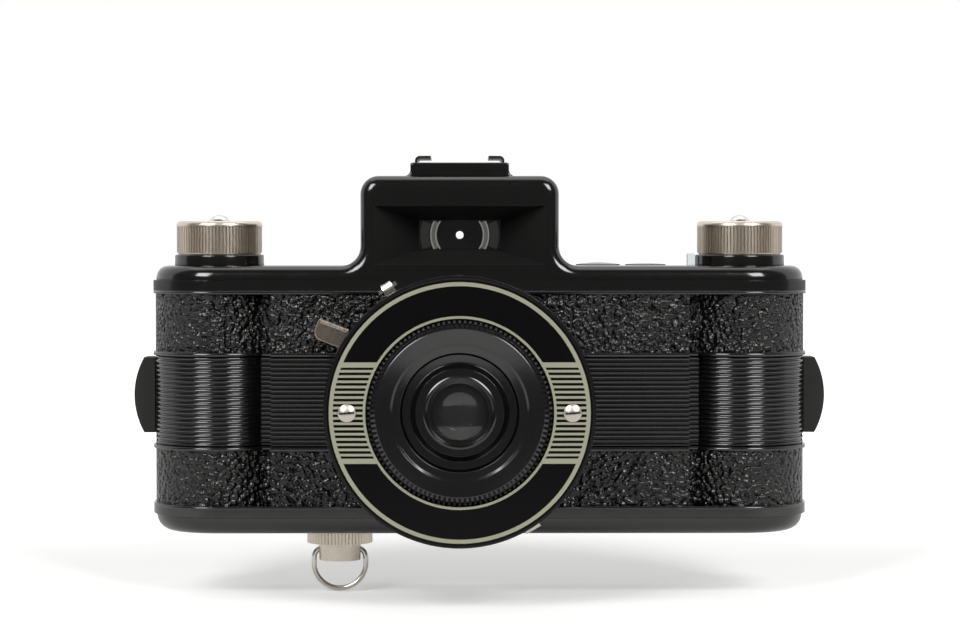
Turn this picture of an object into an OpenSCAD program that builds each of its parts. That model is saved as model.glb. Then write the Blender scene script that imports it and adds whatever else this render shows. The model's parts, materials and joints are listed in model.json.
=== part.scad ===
// Panoramic film camera: a moulded body with two round film chambers, a drum lens with a printed
// front ring, a finder hump with an accessory shoe, metal knobs and a strap screw.
// The frame: X to the right, Y to the back, Z up. The base lies at Z = 0, the middle of the body at X = 0.

/* [Body] */
// Distance from the body's middle to each film chamber's axis
chamber_x = 58.4; // [57:0.2:64]
// Radius of each film chamber
chamber_r = 13.2; // [12.9:0.1:14.4]
// Thickness of the moulded walls
wall = 1.6; // [1.4:0.1:1.9]
// Height of the bottom plate
base_h = 3.9; // [3.8:0.1:6]
// Height of the moulded shell between the bottom plate and the top cover
shell_h = 52.1; // [51:0.1:60]
// Height of the top cover's low part
cover_h = 3.2; // [3.1:0.1:5]
// How far the top cover and the bottom plate stand in from the rims
cover_inset = 0.7; // [0.4:0.1:1.2]
// Edge radius of the top cover
cover_fillet = 3; // [1.5:0.1:3]
// Edge radius of the bottom plate
base_fillet = 3.6; // [1.5:0.1:3.6]
// Height of the plain rim above the bottom plate
low_rim_h = 2.4; // [1.6:0.1:4]
// Height of the plain rim below the top cover
top_rim_h = 3; // [1.6:0.1:4]
// Depth of the leathered zones below the rims
leather_depth = 0.5; // [0.3:0.05:0.7]
// Half the width of the raised middle block
centre_half = 46; // [45:0.2:47]
// Depth of the upright grooves beside the middle block
groove_d = 4.1; // [3:0.1:4.6]
// Where the front shell and the back cover meet
seam_y = 1.5; // [1:0.1:1.8]

/* [Ribbed band] */
// Height of the band's lower edge above the base
band_z = 18.5; // [14:0.1:20]
// Height of the band
band_h = 21.6; // [16:0.1:26]
// Distance between ribs
rib_pitch = 1; // [0.8:0.1:1.6]
// Depth of the ribs
rib_depth = 0.45; // [0.2:0.05:0.6]
// Height of the plain ridge along each edge of the band
ridge_h = 0.8; // [0.5:0.1:1.5]

/* [Finder] */
// Width of the finder hump
hump_w = 43.7; // [41.5:0.1:50]
// Height of the hump above the top cover
hump_h = 19.8; // [18:0.1:24]
// Radius of the hump's upper corners
hump_corner = 4; // [2.6:0.1:6]
// Radius of the hollow flares at the hump's foot
hump_flare = 4.4; // [3:0.1:5]
// Edge radius of the hump's front and rear
hump_edge = 2.4; // [1:0.1:2.5]
// Height of the sight line above the top cover
finder_rise = 6.8; // [6.8:0.1:9]
// Width of the funnel's mouth
funnel_w = 37.8; // [30:0.1:38.4]
// Height of the funnel's mouth
funnel_h = 12.8; // [10:0.1:12.8]
// Depth of the funnel
funnel_d = 12.5; // [8:0.1:13]
// Width of the finder's front glass
glass_w = 18.2; // [14:0.1:22]
// Height of the finder's front glass
glass_h = 6.6; // [5:0.1:8]
// Thickness of the finder's front glass
glass_t = 2.4; // [1.5:0.1:3]
// Radius of the finder's eyepiece
eyepiece_r = 4; // [3:0.1:5]
// Radius of the sight hole in front of the eyepiece
sight_r = 1.2; // [0.8:0.1:2]

/* [Accessory shoe] */
// Width of the slot that takes a shoe foot
slot_w = 18.6; // [18.4:0.05:19]
// Height of the slot
slot_h = 2; // [1.9:0.05:2.3]
// Gap between the slot's two lips
lip_gap = 12.8; // [12:0.1:14]
// Thickness of the shoe's sheet
shoe_t = 0.6; // [0.5:0.05:0.8]
// Length of the shoe
shoe_len = 18; // [16:0.5:20]
// How far the rails stand above the shoe's seat
rail_rise = 1.5; // [1.2:0.1:1.8]
// Height of the shoe's seat above the hump
seat_h = 3; // [2.6:0.1:4]
// Radius of the hollow flares at the seat's foot
seat_flare = 1.4; // [0.8:0.1:2]
// Radius of the centre contact
contact_r = 1.2; // [1:0.1:1.6]

/* [Knobs] */
// Radius of the knobs
knob_r = 9.6; // [8:0.1:10]
// Height of the knobs
knob_h = 7.4; // [6:0.1:10]
// Number of flutes round a knob
knob_flutes = 70; // [40:1:80]
// Depth of the flutes
flute_d = 0.3; // [0.2:0.05:0.4]
// Height of the smooth rim above the flutes
knob_rim = 1.2; // [1.1:0.1:2]
// Edge radius of that rim
knob_round = 1; // [0.5:0.1:1]
// Radius of the collars under the knobs
collar_r = 10; // [9:0.1:11]
// Height of the collars
collar_h = 2.4; // [2:0.1:4]
// Radius of the knobs' shafts
shaft_r = 3; // [2.6:0.1:3.4]
// Radius of the domed screw heads on the knobs
cap_r = 2.36; // [2:0.05:2.8]
// Height of those heads
cap_h = 1.4; // [1:0.1:1.8]
// How far the rewind knob pulls up
rewind_pull = 9; // [6:0.5:10]

/* [Lens drum] */
// Place of the lens axis along the body
lens_x = -4.5; // [-6:0.1:-2]
// Height of the lens axis above the base
lens_z = 28.5; // [27:0.1:31]
// Radius of the drum
barrel_r = 28.9; // [28.8:0.1:31]
// Length of the drum
barrel_h = 21.6; // [21:0.1:26]
// How far the front ring's edge stands inside the drum's edge
ring_inset = 0.5; // [0.2:0.1:1]
// Thickness of the front ring
ring_t = 2.2; // [1.6:0.1:3]
// Distance of the front ring's screws from the drum's edge
ring_screw_in = 5.1; // [4.9:0.1:5.5]
// Radius of those screws' heads
ring_screw_r = 1.9; // [1.6:0.05:2.2]
// Radius of the focusing ring for each millimetre of the drum's radius
focus_part = 0.675; // [0.65:0.005:0.69]
// Width of the focusing ring's sloping edge
slope_w = 1.7; // [1.4:0.1:2]
// Radius of the lens cell's place for each millimetre of the focusing ring's radius
dish_part = 0.646; // [0.62:0.002:0.66]
// Radius of the front lens, where it shows, for each millimetre of that place's radius
lens_part = 0.484; // [0.45:0.002:0.5]
// How far the lens cell moves forward for near focus
focus_travel = 1.6; // [1:0.1:2]

/* [Shutter and stops] */
// Distance of the shutter lever's pivot from the lens axis
lever_at = 19.5; // [19:0.1:20]
// Direction of that pivot, counter-clockwise from the right as seen from the front
lever_turn = 152; // [148:1:156]
// Direction in which the lever points
lever_dir = 151; // [148:1:154]
// Length of the lever from its pivot
lever_len = 16.3; // [15.5:0.1:18]
// Width of the lever's finger piece
paddle_w = 5.2; // [4:0.1:6]
// Stroke of the lever
lever_stroke = 22; // [18:1:22]
// Distance of the shutter blade's pivot from the lens axis
blade_at = 15; // [14.5:0.1:15.5]
// Direction of the blade's pivot
blade_turn = 205; // [203:1:207]
// Degrees that the blade turns for each degree of the lever
blade_ratio = 1.6; // [1.5:0.05:1.7]
// Distance of the stop plate's pivot from the lens axis
stop_at = 14; // [13:0.1:15]
// Direction of the stop plate's pivot
stop_turn = 301; // [299:1:303]
// Angle between the two stops
stop_step = 20; // [18:1:22]
// Radius of the wide stop
wide_stop_r = 1.39; // [1.2:0.01:1.5]
// Radius of the small stop
small_stop_r = 0.94; // [0.8:0.01:1.1]
// Distance of the exposure switch's pivot from the lens axis
switch_at = 20; // [19.5:0.1:21]
// Direction of the exposure switch
switch_turn = 121; // [119:1:123]
// Swing of the exposure switch
switch_swing = 18; // [14:1:18]

/* [Film path] */
// Width of the film gate
gate_w = 71; // [66:0.5:71]
// Height of the film gate
gate_h = 33; // [30:0.5:34]
// Where the film lies behind the chambers' axes
film_y = 11; // [10.7:0.1:11.2]
// Place of the sprocket along the body
sprocket_x = 37.6; // [37.4:0.1:38]
// Place of the sprocket behind the chambers' axes
sprocket_y = 5; // [4.8:0.1:5.2]
// Number of sprocket teeth in a row
sprocket_teeth = 8; // [6:1:8]
// Distance between film perforations
perforation = 4.75; // [4.7:0.01:4.8]
// Distance between the two rows of teeth
row_gap = 28.2; // [27:0.1:29]
// Tooth module of the counter gears
gear_module = 0.6; // [0.56:0.01:0.62]
// Teeth on the sprocket's pinion
pinion_teeth = 12; // [11:1:12]
// Teeth on the counter dial
dial_teeth = 24; // [22:1:25]

/* [Back] */
// Height of the side latches
latch_h = 17; // [14:0.5:19]
// How far the latches stand out from the body's ends
latch_out = 4.8; // [3.5:0.1:6]
// Depth of the latches front to back
latch_d = 7.6; // [7:0.1:8]
// Height of the latches' middle above the base
latch_z = 29.9; // [28:0.1:31]
// How far the latches slide up
latch_slide = 4; // [3:0.5:5]

/* [Strap screw] */
// Place of the tripod bush along the body
strap_x = -31.5; // [-36:0.5:-28]
// Radius of the screw's knurled disc
strap_disc_r = 7.35; // [6.5:0.05:8]
// Height of the disc below the base
strap_disc_h = 3.1; // [2.5:0.1:4]
// Number of teeth round the disc
strap_teeth = 54; // [36:1:60]
// Radius of the screw's boss
boss_r = 4.66; // [4.2:0.02:5]
// Height of the boss
boss_h = 3.9; // [3.4:0.1:5]
// Radius of the quarter-inch thread
thread_r = 3.15; // [3.1:0.01:3.2]
// Radius of the strap ring's wire
wire_r = 0.6; // [0.5:0.05:0.7]
// Radius of the strap ring's bow, at the middle of the wire
bow_r = 5.8; // [5.6:0.1:6.4]
// Height of the strap ring's straight legs
leg_h = 3.2; // [2.6:0.1:5]

/* [Clearances] */
// Radial gap of a shaft that turns in its bore
run_gap = 0.05; // [0.02:0.01:0.09]
// Gap between pieces that move past each other
free_gap = 0.3; // [0.2:0.05:0.4]
// Gap round a piece that is fitted and stays
seat_gap = 0.02; // [0.01:0.01:0.05]

/* [Hidden] */
$fn = 96;
over = 0.1;
far = 200;

end_r = chamber_r + wall;
skin_r = end_r - leather_depth;
trim_r = end_r - cover_inset;
inner_front = skin_r - wall;
top_z = base_h + shell_h;
deck_low = base_h + wall;
deck_top = top_z - wall;
deck_r = chamber_r - free_gap;
roof_z = top_z + cover_h;
ceiling_z = roof_z - wall;
hump_z = roof_z + hump_h;
finder_z = roof_z + finder_rise;
hump_front = -trim_r;
hump_back = trim_r;
back_seam = seam_y + 0.2;
back_low = base_h + 0.2;
back_top = top_z - 0.2;

// The finder, from the funnel's end to the eyepiece
glass_front = hump_front + funnel_d;
glass_back = glass_front + glass_t;
eyepiece_t = 2;
tube_wall = 1.2;
hump_wall_back = hump_back - eyepiece_t - 1;

// The accessory shoe
shoe_w = slot_w + 2 * shoe_t;
shoe_h = slot_h + 2 * shoe_t;
seat_z = hump_z + seat_h;
shoe_z = seat_z + rail_rise - shoe_h;
seat_w = shoe_w + 2 * 1;
seat_len = shoe_len + 2 * 1.2;
shoe_screw_x = 6.6;
shoe_screw_y = 6;
shoe_screw_r = 1.1;
shoe_shank_r = 0.6;
insulator_r = contact_r + 0.8;

// The knobs and their shafts
collar_z = roof_z + collar_h;
knob_z = collar_z + 0.1;
knob_top = knob_z + knob_h;
shaft_top = knob_top - 0.9;
rim_proud = 0.1;
cap_shank_r = 1.2;
cap_slot_w = 0.6;
hub_r = shaft_r + 1.95;
hub_flange_r = hub_r + 1.6;
shaft_flat = shaft_r - 0.6;
spool_r = shaft_r + 2;
flange_t = 1.2;
flange_r = chamber_r - 1.7;
pivot_r = shaft_r - 1;
fork_z = deck_top - 9.4;
fork_h = 5.4;

// The lens drum, measured forward from the front of the body
ring_r = barrel_r - ring_inset;
ring_screw_at = barrel_r - ring_screw_in;
focus_r = barrel_r * focus_part;
crest_r = focus_r - slope_w;
dish_r = focus_r * dish_part;
lens_r = dish_r * lens_part;
drum_wall = 2;
shelf_w = 1;
lens_hole_r = 9;
rear_lens_r = 6;
layer_gap = 0.7;
stop_t = 0.5;
blade_t = 0.3;
lever_t = 1;
stop_layer = wall + layer_gap;
blade_layer = stop_layer + stop_t + layer_gap;
lever_layer = blade_layer + blade_t + layer_gap;
shelf_z = lever_layer + lever_t + 3.2;
mount_t = 1.2;
guide_z = shelf_z + mount_t;
front_z = barrel_h + ring_t;
guide_top = front_z - 4.4;
guide_r = dish_r - 0.2;
cell_r = guide_r - 1.55;
key_w = 2;
key_d = 0.8;
cell_back = guide_z + 2.6;
cell_lip = front_z - 3.2;
flange_z = guide_top + 0.4;
bezel_r = lens_r + 0.05;
element_r = lens_r + 0.45;
dome_h = 1.5;
light_r = 4;
column_r = 2.6;
drum_screw_at = 22.5;
drum_screw_dirs = [45, 200, 320];
drum_screw_r = 1.9;
drum_boss_r = 2.6;
drum_boss_h = 2.8;
small_shank_r = 1;
lever_post_r = 1.5;
small_post_r = 1.1;

// The shutter drive: a pin on the lever in a slot of the blade, at the pitch point between their pivots
lever_pivot = polar(lever_at, lever_turn);
blade_pivot = polar(blade_at, blade_turn);
stop_pivot = polar(stop_at, stop_turn);
switch_pivot = polar(switch_at, switch_turn);
drive_gap = blade_pivot - lever_pivot;
drive_len = norm(drive_gap);
drive_dir = atan2(drive_gap[1], drive_gap[0]);
pin_at = drive_len * blade_ratio / (1 + blade_ratio);
slot_at = drive_len / (1 + blade_ratio);
pin_dir = drive_dir - lever_stroke / 2;
tail_dir = drive_dir + 180 + blade_ratio * lever_stroke / 2;
pin_r = 0.8;
tail_w = 4.2;
window_r = 2.5;
tab_gap = 1;

// The film path
gate_y = film_y - 1.6;
gate_t = 1.2;
rail_w = 1.6;
cone_t = 1.2;
cone_front = 10;
gate_left = -(centre_half - wall - 0.2);
gate_right = lens_x + gate_w / 2 + 1.2;
sprocket_r = sprocket_teeth * perforation / (2 * PI);
tooth_h = 1.25;
tooth_w = 1.9;
tooth_l = 1.1;
sprocket_shaft_r = 1.5;
gear_z = top_z + 0.2;
gear_t = 1;
pressure_angle = 25;
backlash = 0.12;
dial_x = sprocket_x - gear_module * (pinion_teeth + dial_teeth) / 2;
dial_tip_r = gear_module * (dial_teeth + 2) / 2;
dial_window_r = 5;
pinion_window_r = 4.6;
window_plug = 0.8;
plate_y = film_y + 0.3;
plate_t = 0.6;
plate_w = gate_w;
plate_h = gate_h + 4;
leaf_t = 0.3;
leaf_w = 10;
leaf_half = plate_w * 0.34;
leaf_foot = 6;
leaf_crown = 8;

// The latches, on a flat pad at each end of the back
pad_x = chamber_x + end_r - 0.2;
pad_front = back_seam + 0.8;
pad_back = pad_front + latch_d + 1.2;
pad_low = latch_z - latch_h / 2 - 3;
pad_high = latch_z + latch_h / 2 + latch_slide + 2;
latch_front = pad_front + 0.6;
latch_face = pad_x + free_gap;
latch_flat = 2.6;
key_y = latch_front + latch_d * 0.68;
key_neck = 1.8;
key_head = 3.4;
neck_l = 1.2;
head_l = 0.9;
latch_guide_h = 11;

// The strap screw and its bush
bush_r = thread_r + 1.85;
bush_flange_r = bush_r + 1.2;
strap_recess = 0.4;
hinge_z = -strap_disc_h - 1.4;
foot_screw_x = 50;
foot_screw_y = 7;
foot_screw_r = 2;
foot_head_h = 1.2;

function polar(r, a) = [r * cos(a), r * sin(a)];

// Shared shapes

module on_lens() translate([lens_x, -end_r, lens_z]) rotate([90, 0, 0]) children();

module at(p, z = 0) translate([p[0], p[1], z]) children();

module tube(r_out, r_in, h) difference() {
    cylinder(h = h, r = r_out);
    translate([0, 0, -over]) cylinder(h = h + 2 * over, r = r_in);
}

module slab(z0, z1) translate([0, 0, z0]) linear_extrude(z1 - z0) children();

// Draws a profile in X and Z, from y0 to y1
module along_y(y0, y1) translate([0, y1, 0]) rotate([90, 0, 0]) linear_extrude(y1 - y0) children();

// Draws a profile in Y and Z, from x0 to x1
module along_x(x0, x1) translate([x0, 0, 0]) rotate([90, 0, 90]) linear_extrude(x1 - x0) children();

module block(low, high) translate(low) cube(high - low);

module ends() for (side = [-1, 1]) translate([side * chamber_x, 0]) children();

module stadium(r) {
    ends() circle(r);
    square([2 * chamber_x, 2 * r], center = true);
}

module front_half() intersection() {
    children();
    translate([-far / 2, -far]) square([far, far + seam_y]);
}

module back_half() intersection() {
    children();
    translate([-far / 2, back_seam]) square([far, far]);
}

// A profile of radius and height, turned round both ends and drawn along the middle
module stadium_turn() {
    for (side = [-1, 1])
        translate([side * chamber_x, 0, 0])
            rotate([0, 0, side * -90]) rotate_extrude(angle = 180) children();
    along_x(-chamber_x, chamber_x) {
        children();
        mirror([1, 0]) children();
    }
}

// The half profile of a disc of radius r and height h with its upper edge rounded
module rounded_edge(r, h, round) {
    square([r - round, h]);
    square([r, h - round]);
    translate([r - round, h - round]) intersection() {
        circle(round);
        square(round);
    }
}

// Two hollow quarter rounds at the foot of a block of width w
module flares(w, r) for (side = [0, 1]) mirror([side, 0]) translate([w / 2, 0]) difference() {
    square(r);
    translate([r, r]) circle(r);
}

// A disc with pointed teeth round its edge
module toothed_disc(r, depth, teeth) polygon([
    for (i = [0 : 2 * teeth - 1]) polar(r - (i % 2) * depth, i * 180 / teeth)
]);

module dome(r, h) {
    sphere_r = (r * r + h * h) / (2 * h);
    intersection() {
        translate([0, 0, h - sphere_r]) sphere(sphere_r);
        cylinder(h = h, r = r);
    }
}

module slotted_head(r, h) difference() {
    dome(r, h);
    translate([0, 0, h]) cube([2 * r + over, cap_slot_w, h], center = true);
}

module flatted(r, flat) intersection() {
    circle(r);
    translate([-r - over, -r - over]) square([2 * (r + over), r + over + flat]);
}

// Counter gears: involute flanks above the base circle and radial ones below it
function involute(base, r) = tan(acos(base / r)) * 180 / PI - acos(base / r);

function gear_outline(teeth) =
    let (pitch = gear_module * teeth / 2)
    let (base = pitch * cos(pressure_angle))
    let (tip = pitch + 0.8 * gear_module)
    let (root = pitch - 1.15 * gear_module)
    let (start = max(base, root))
    let (half = 90 / teeth - backlash / pitch * 90 / PI + involute(base, pitch))
    let (radii = [for (i = [0 : 4]) start + (tip - start) * i / 4])
    [for (k = [0 : teeth - 1]) let (mid = k * 360 / teeth) each concat(
        [polar(root, mid - half + involute(base, start))],
        [for (r = radii) polar(r, mid - half + involute(base, r))],
        [for (i = [4 : -1 : 0]) polar(radii[i], mid + half - involute(base, radii[i]))],
        [polar(root, mid + half - involute(base, start))]
    )];

// Body

// The shell's plan, grown by e: round ends, a groove floor and the raised middle block
module skin(e) {
    ends() circle(skin_r + e);
    translate([-chamber_x, groove_d - skin_r - e])
        square([2 * chamber_x, 2 * skin_r - groove_d + 2 * e]);
    translate([-centre_half, -skin_r - e]) square([2 * centre_half, skin_r]);
}

module hollow() {
    ends() circle(chamber_r);
    translate([-chamber_x, groove_d - inner_front])
        square([2 * chamber_x, chamber_r + inner_front - groove_d]);
    translate([wall - centre_half, -inner_front]) square([2 * (centre_half - wall), inner_front]);
}

rib_count = floor((band_h - 2 * ridge_h) / rib_pitch);
rib_start = band_z + ridge_h + (band_h - 2 * ridge_h - rib_count * rib_pitch) / 2;
band_top = band_z + band_h;

// Each raised or leathered zone of the shell: from, to and how far it stands out from the leather
zones = concat(
    [
        [deck_low, band_z, 0],
        [band_z, band_z + ridge_h, leather_depth],
        [band_top - ridge_h, band_top, leather_depth],
        [band_top, deck_top, 0]
    ],
    [for (i = [0 : rib_count - 1]) [rib_start + (i + 0.25) * rib_pitch, rib_start + (i + 0.75) * rib_pitch, 0]]
);

module front_plan(e) front_half() skin(e);

module back_plan(e) back_half() stadium(skin_r + e);

module lens_pad() intersection() {
    on_lens() translate([0, 0, -leather_depth - over]) cylinder(h = leather_depth + over, r = barrel_r - 0.4);
    block([-far, -far, base_h], [far, 0, top_z]);
}

module body_shell() color("#1c1c1b") {
    difference() {
        union() {
            slab(base_h, top_z) front_plan(-rib_depth);
            for (zone = zones) slab(zone[0], zone[1]) front_plan(zone[2]);
            slab(base_h, base_h + low_rim_h) front_half() stadium(end_r);
            slab(top_z - top_rim_h, top_z) front_half() stadium(end_r);
            lens_pad();
            slab(base_h, top_z) intersection() {
                stadium(deck_r);
                translate([-far / 2, 0]) square([far, far]);
            }
        }
        slab(deck_low, deck_top) hollow();
        on_lens() translate([0, 0, -far / 8]) cylinder(h = far / 4, r = lens_hole_r);
        drum_screw_places() translate([0, 0, -wall - leather_depth - over])
            cylinder(h = wall + leather_depth + 2 * over, r = small_shank_r + run_gap);
        translate([chamber_x, 0, deck_top - over]) cylinder(h = wall + 2 * over, r = shaft_r + run_gap);
        translate([chamber_x, 0, base_h - over]) cylinder(h = wall + 2 * over, r = pivot_r + run_gap);
        translate([-chamber_x, 0, deck_top - over]) cylinder(h = wall + 2 * over, r = shaft_r + run_gap);
        translate([sprocket_x, sprocket_y, base_h - over])
            cylinder(h = shell_h + 2 * over, r = sprocket_shaft_r + run_gap);
        translate([strap_x, 0, base_h - over]) cylinder(h = wall + 2 * over, r = bush_r + seat_gap);
        foot_screw_places() translate([0, 0, base_h - over])
            cylinder(h = wall + 2 * over, r = small_shank_r + seat_gap);
    }
    translate([dial_x, sprocket_y, top_z]) cylinder(h = gear_t + 0.3, r = sprocket_shaft_r);
}

module bottom_plate() color("#1c1c1b") difference() {
    stadium_turn()
        translate([0, base_h]) mirror([0, 1]) rounded_edge(trim_r, base_h, base_fillet);
    translate([strap_x, 0, -over]) {
        cylinder(h = strap_recess + over, r = strap_disc_r + free_gap);
        cylinder(h = base_h + 2 * over, r = bush_r + seat_gap);
    }
    foot_screw_places() translate([0, 0, -over]) {
        cylinder(h = foot_head_h + over, r = foot_screw_r + seat_gap);
        cylinder(h = base_h + 2 * over, r = small_shank_r + seat_gap);
    }
}

module foot_screw_places() for (x = [-foot_screw_x, foot_screw_x], y = [-foot_screw_y, foot_screw_y])
    translate([x, y, 0]) children();

module bottom_screws() color("#8f8b84") foot_screw_places() {
    translate([0, 0, foot_head_h]) cylinder(h = deck_low - foot_head_h, r = small_shank_r);
    difference() {
        translate([0, 0, over]) cylinder(h = foot_head_h - over, r = foot_screw_r);
        cube([2 * foot_screw_r, cap_slot_w, 1], center = true);
    }
}

module tripod_bush() color("#b39a5c") translate([strap_x, 0, 0]) difference() {
    union() {
        translate([0, 0, strap_recess]) cylinder(h = deck_low - strap_recess, r = bush_r);
        translate([0, 0, deck_low]) cylinder(h = 0.8, r = bush_flange_r);
    }
    cylinder(h = deck_low + 1, r = thread_r + run_gap);
}

// Top cover

module hump_face() {
    translate([-hump_w / 2, top_z]) square([hump_w, hump_z - hump_corner - top_z]);
    translate([hump_corner - hump_w / 2, top_z]) square([hump_w - 2 * hump_corner, hump_z - top_z]);
    for (side = [-1, 1])
        translate([side * (hump_w / 2 - hump_corner), hump_z - hump_corner]) circle(hump_corner);
    translate([0, roof_z]) flares(hump_w, hump_flare);
}

module hump_side() {
    depth = hump_back - hump_front;
    translate([hump_front, top_z]) square([depth, hump_z - hump_edge - top_z]);
    translate([hump_front + hump_edge, top_z]) square([depth - 2 * hump_edge, hump_z - top_z]);
    for (y = [hump_front + hump_edge, hump_back - hump_edge])
        translate([y, hump_z - hump_edge]) circle(hump_edge);
}

module hump_plan() {
    depth = hump_back - hump_front;
    translate([-hump_w / 2, hump_front + hump_edge]) square([hump_w, depth - 2 * hump_edge]);
    translate([hump_edge - hump_w / 2, hump_front]) square([hump_w - 2 * hump_edge, depth]);
    for (side = [-1, 1], y = [hump_front + hump_edge, hump_back - hump_edge])
        translate([side * (hump_w / 2 - hump_edge), y]) circle(hump_edge);
    translate([-hump_w / 2 - hump_flare, hump_front + cover_fillet])
        square([hump_w + 2 * hump_flare, depth - 2 * cover_fillet]);
}

module hump() translate([lens_x, 0, 0]) intersection() {
    along_y(hump_front, hump_back) hump_face();
    along_x(-hump_w, hump_w) hump_side();
    slab(top_z, hump_z) hump_plan();
}

// The finder's funnel and tube: a box that narrows from the mouth to the glass, grown by e
module funnel(e) translate([lens_x, 0, finder_z]) intersection() {
    slab(-far / 4, far / 4) polygon([
        [-funnel_w / 2 - e, hump_front - over], [funnel_w / 2 + e, hump_front - over],
        [glass_w / 2 + e, glass_front], [glass_w / 2 + e, hump_wall_back + over],
        [-glass_w / 2 - e, hump_wall_back + over], [-glass_w / 2 - e, glass_front]
    ]);
    along_x(-far / 4, far / 4) polygon([
        [hump_front - over, -funnel_h / 2 - e], [glass_front, -glass_h / 2 - e],
        [hump_wall_back + over, -glass_h / 2 - e], [hump_wall_back + over, glass_h / 2 + e],
        [glass_front, glass_h / 2 + e], [hump_front - over, funnel_h / 2 + e]
    ]);
}

module shoe_seat() translate([lens_x, 0, 0]) along_y(-seat_len / 2, seat_len / 2) {
    translate([-seat_w / 2, hump_z - wall]) square([seat_w, seat_h + wall]);
    translate([0, hump_z]) flares(seat_w, seat_flare);
}

module top_cover() color("#1c1c1b") difference() {
    union() {
        difference() {
            union() {
                translate([0, 0, top_z]) stadium_turn() rounded_edge(trim_r, cover_h, cover_fillet);
                hump();
                ends() translate([0, 0, roof_z]) cylinder(h = collar_h, r = collar_r);
                shoe_seat();
            }
            slab(top_z - over, ceiling_z) stadium(trim_r - wall);
            block(
                [lens_x - hump_w / 2 + wall, hump_front + wall, top_z - over],
                [lens_x + hump_w / 2 - wall, hump_wall_back, hump_z - wall]
            );
        }
        intersection() {
            funnel(tube_wall);
            block([-far, hump_front, top_z], [far, hump_back - wall, far]);
        }
    }
    funnel(0);
    translate([lens_x, hump_back + over, finder_z]) rotate([90, 0, 0]) {
        cylinder(h = eyepiece_t + over, r = eyepiece_r + seat_gap);
        cylinder(h = eyepiece_t + 2, r = sight_r);
    }
    shoe_places() {
        block(
            [-shoe_w / 2 - seat_gap, -shoe_len / 2, shoe_z],
            [shoe_w / 2 + seat_gap, seat_len, seat_z + over]
        );
        shoe_screw_spots() translate([0, 0, hump_z - wall - over])
            cylinder(h = seat_h + wall, r = shoe_shank_r + seat_gap);
    }
    translate([chamber_x, 0, top_z]) cylinder(h = cover_h + collar_h + over, r = shaft_r + run_gap);
    translate([-chamber_x, 0, top_z]) cylinder(h = cover_h + collar_h + over, r = hub_r + run_gap);
    translate([dial_x, sprocket_y, 0]) {
        cylinder_from(top_z, roof_z + over, dial_window_r - window_plug + seat_gap);
        cylinder_from(top_z - over, gear_z + gear_t + free_gap, dial_tip_r + free_gap);
    }
    translate([sprocket_x, sprocket_y, 0])
        cylinder_from(top_z, roof_z + over, pinion_window_r - window_plug + seat_gap);
}

module finder_glass() color("#c9d3d6") translate([lens_x, 0, finder_z]) block(
    [seat_gap - glass_w / 2, glass_front, seat_gap - glass_h / 2],
    [glass_w / 2 - seat_gap, glass_back, glass_h / 2 - seat_gap]
);

module finder_eyepiece() color("#c9d3d6") translate([lens_x, hump_back, finder_z]) rotate([90, 0, 0])
    cylinder(h = eyepiece_t, r = eyepiece_r);

module window(x, r, rise) color("#3a3f42") translate([x, sprocket_y, 0]) {
    translate([0, 0, ceiling_z]) cylinder(h = wall + over, r = r - window_plug);
    translate([0, 0, roof_z]) cylinder(h = rise, r = r);
}

module dial_window() window(dial_x, dial_window_r, 0.7);

module pinion_window() window(sprocket_x, pinion_window_r, 0.5);

module index_tab() color("#c9d3d6") block(
    [chamber_x - collar_r - 1.8, -1.2, roof_z],
    [chamber_x - collar_r - 0.1, 1.2, roof_z + 2.7]
);

// Accessory shoe

module shoe_places() translate([lens_x, 0, 0]) children();

module shoe_screw_spots() for (x = [-shoe_screw_x, shoe_screw_x], y = [-shoe_screw_y, shoe_screw_y])
    translate([x, y, 0]) children();

module shoe_plate() color("#a7a39b") shoe_places() difference() {
    along_y(-shoe_len / 2, shoe_len / 2) translate([0, shoe_z]) difference() {
        translate([-shoe_w / 2, 0]) square([shoe_w, shoe_h]);
        translate([-slot_w / 2, shoe_t]) square([slot_w, slot_h]);
        translate([-lip_gap / 2, shoe_t]) square([lip_gap, shoe_h]);
    }
    translate([0, 0, shoe_z - over]) cylinder(h = shoe_t + 2 * over, r = insulator_r + seat_gap);
    shoe_screw_spots() cylinder_from(shoe_z - over, shoe_z + shoe_t + over, shoe_shank_r + seat_gap);
}

module shoe_insulator() color("#161616") shoe_places() difference() {
    union() {
        translate([0, 0, shoe_z]) cylinder(h = shoe_t, r = insulator_r);
        translate([0, 0, shoe_z + shoe_t]) cylinder(h = 0.3, r = insulator_r + 1.4);
    }
    translate([0, 0, shoe_z - over]) cylinder(h = shoe_t + 1, r = contact_r + seat_gap);
}

module shoe_contact() color("#b39a5c") shoe_places() translate([0, 0, shoe_z]) {
    cylinder(h = shoe_t + 0.3, r = contact_r);
    translate([0, 0, shoe_t + 0.3]) dome(contact_r, 0.3);
}

module shoe_screws() color("#a7a39b") shoe_places() shoe_screw_spots() {
    translate([0, 0, hump_z - wall]) cylinder(h = shoe_z + shoe_t - hump_z + wall, r = shoe_shank_r);
    translate([0, 0, shoe_z + shoe_t]) slotted_head(shoe_screw_r, 0.4);
}

// Lens drum

module drum_screw_places() on_lens() for (a = drum_screw_dirs) at(polar(drum_screw_at, a)) children();

// The way of an arm through the drum's wall, between the outer sides of the arm at both ends of its swing
module swing_way(pivot, from, to, w, z, t) {
    start = barrel_r - drum_wall - shelf_w - norm(pivot) - 1.5;
    side = w / 2 + free_gap;
    at(pivot, z - free_gap) linear_extrude(t + 2 * free_gap) polygon([
        polar(start, from) + polar(side, from - 90),
        polar(barrel_r, from) + polar(side, from - 90),
        polar(barrel_r, to) + polar(side, to + 90),
        polar(start, to) + polar(side, to + 90)
    ]);
}

// A pivot post with a shoulder below its arm
module post(pivot, r, layer, t) at(pivot) {
    cylinder(h = layer - layer_gap / 2, r = r + 0.9);
    cylinder(h = layer + t + layer_gap / 2, r = r);
}

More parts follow.
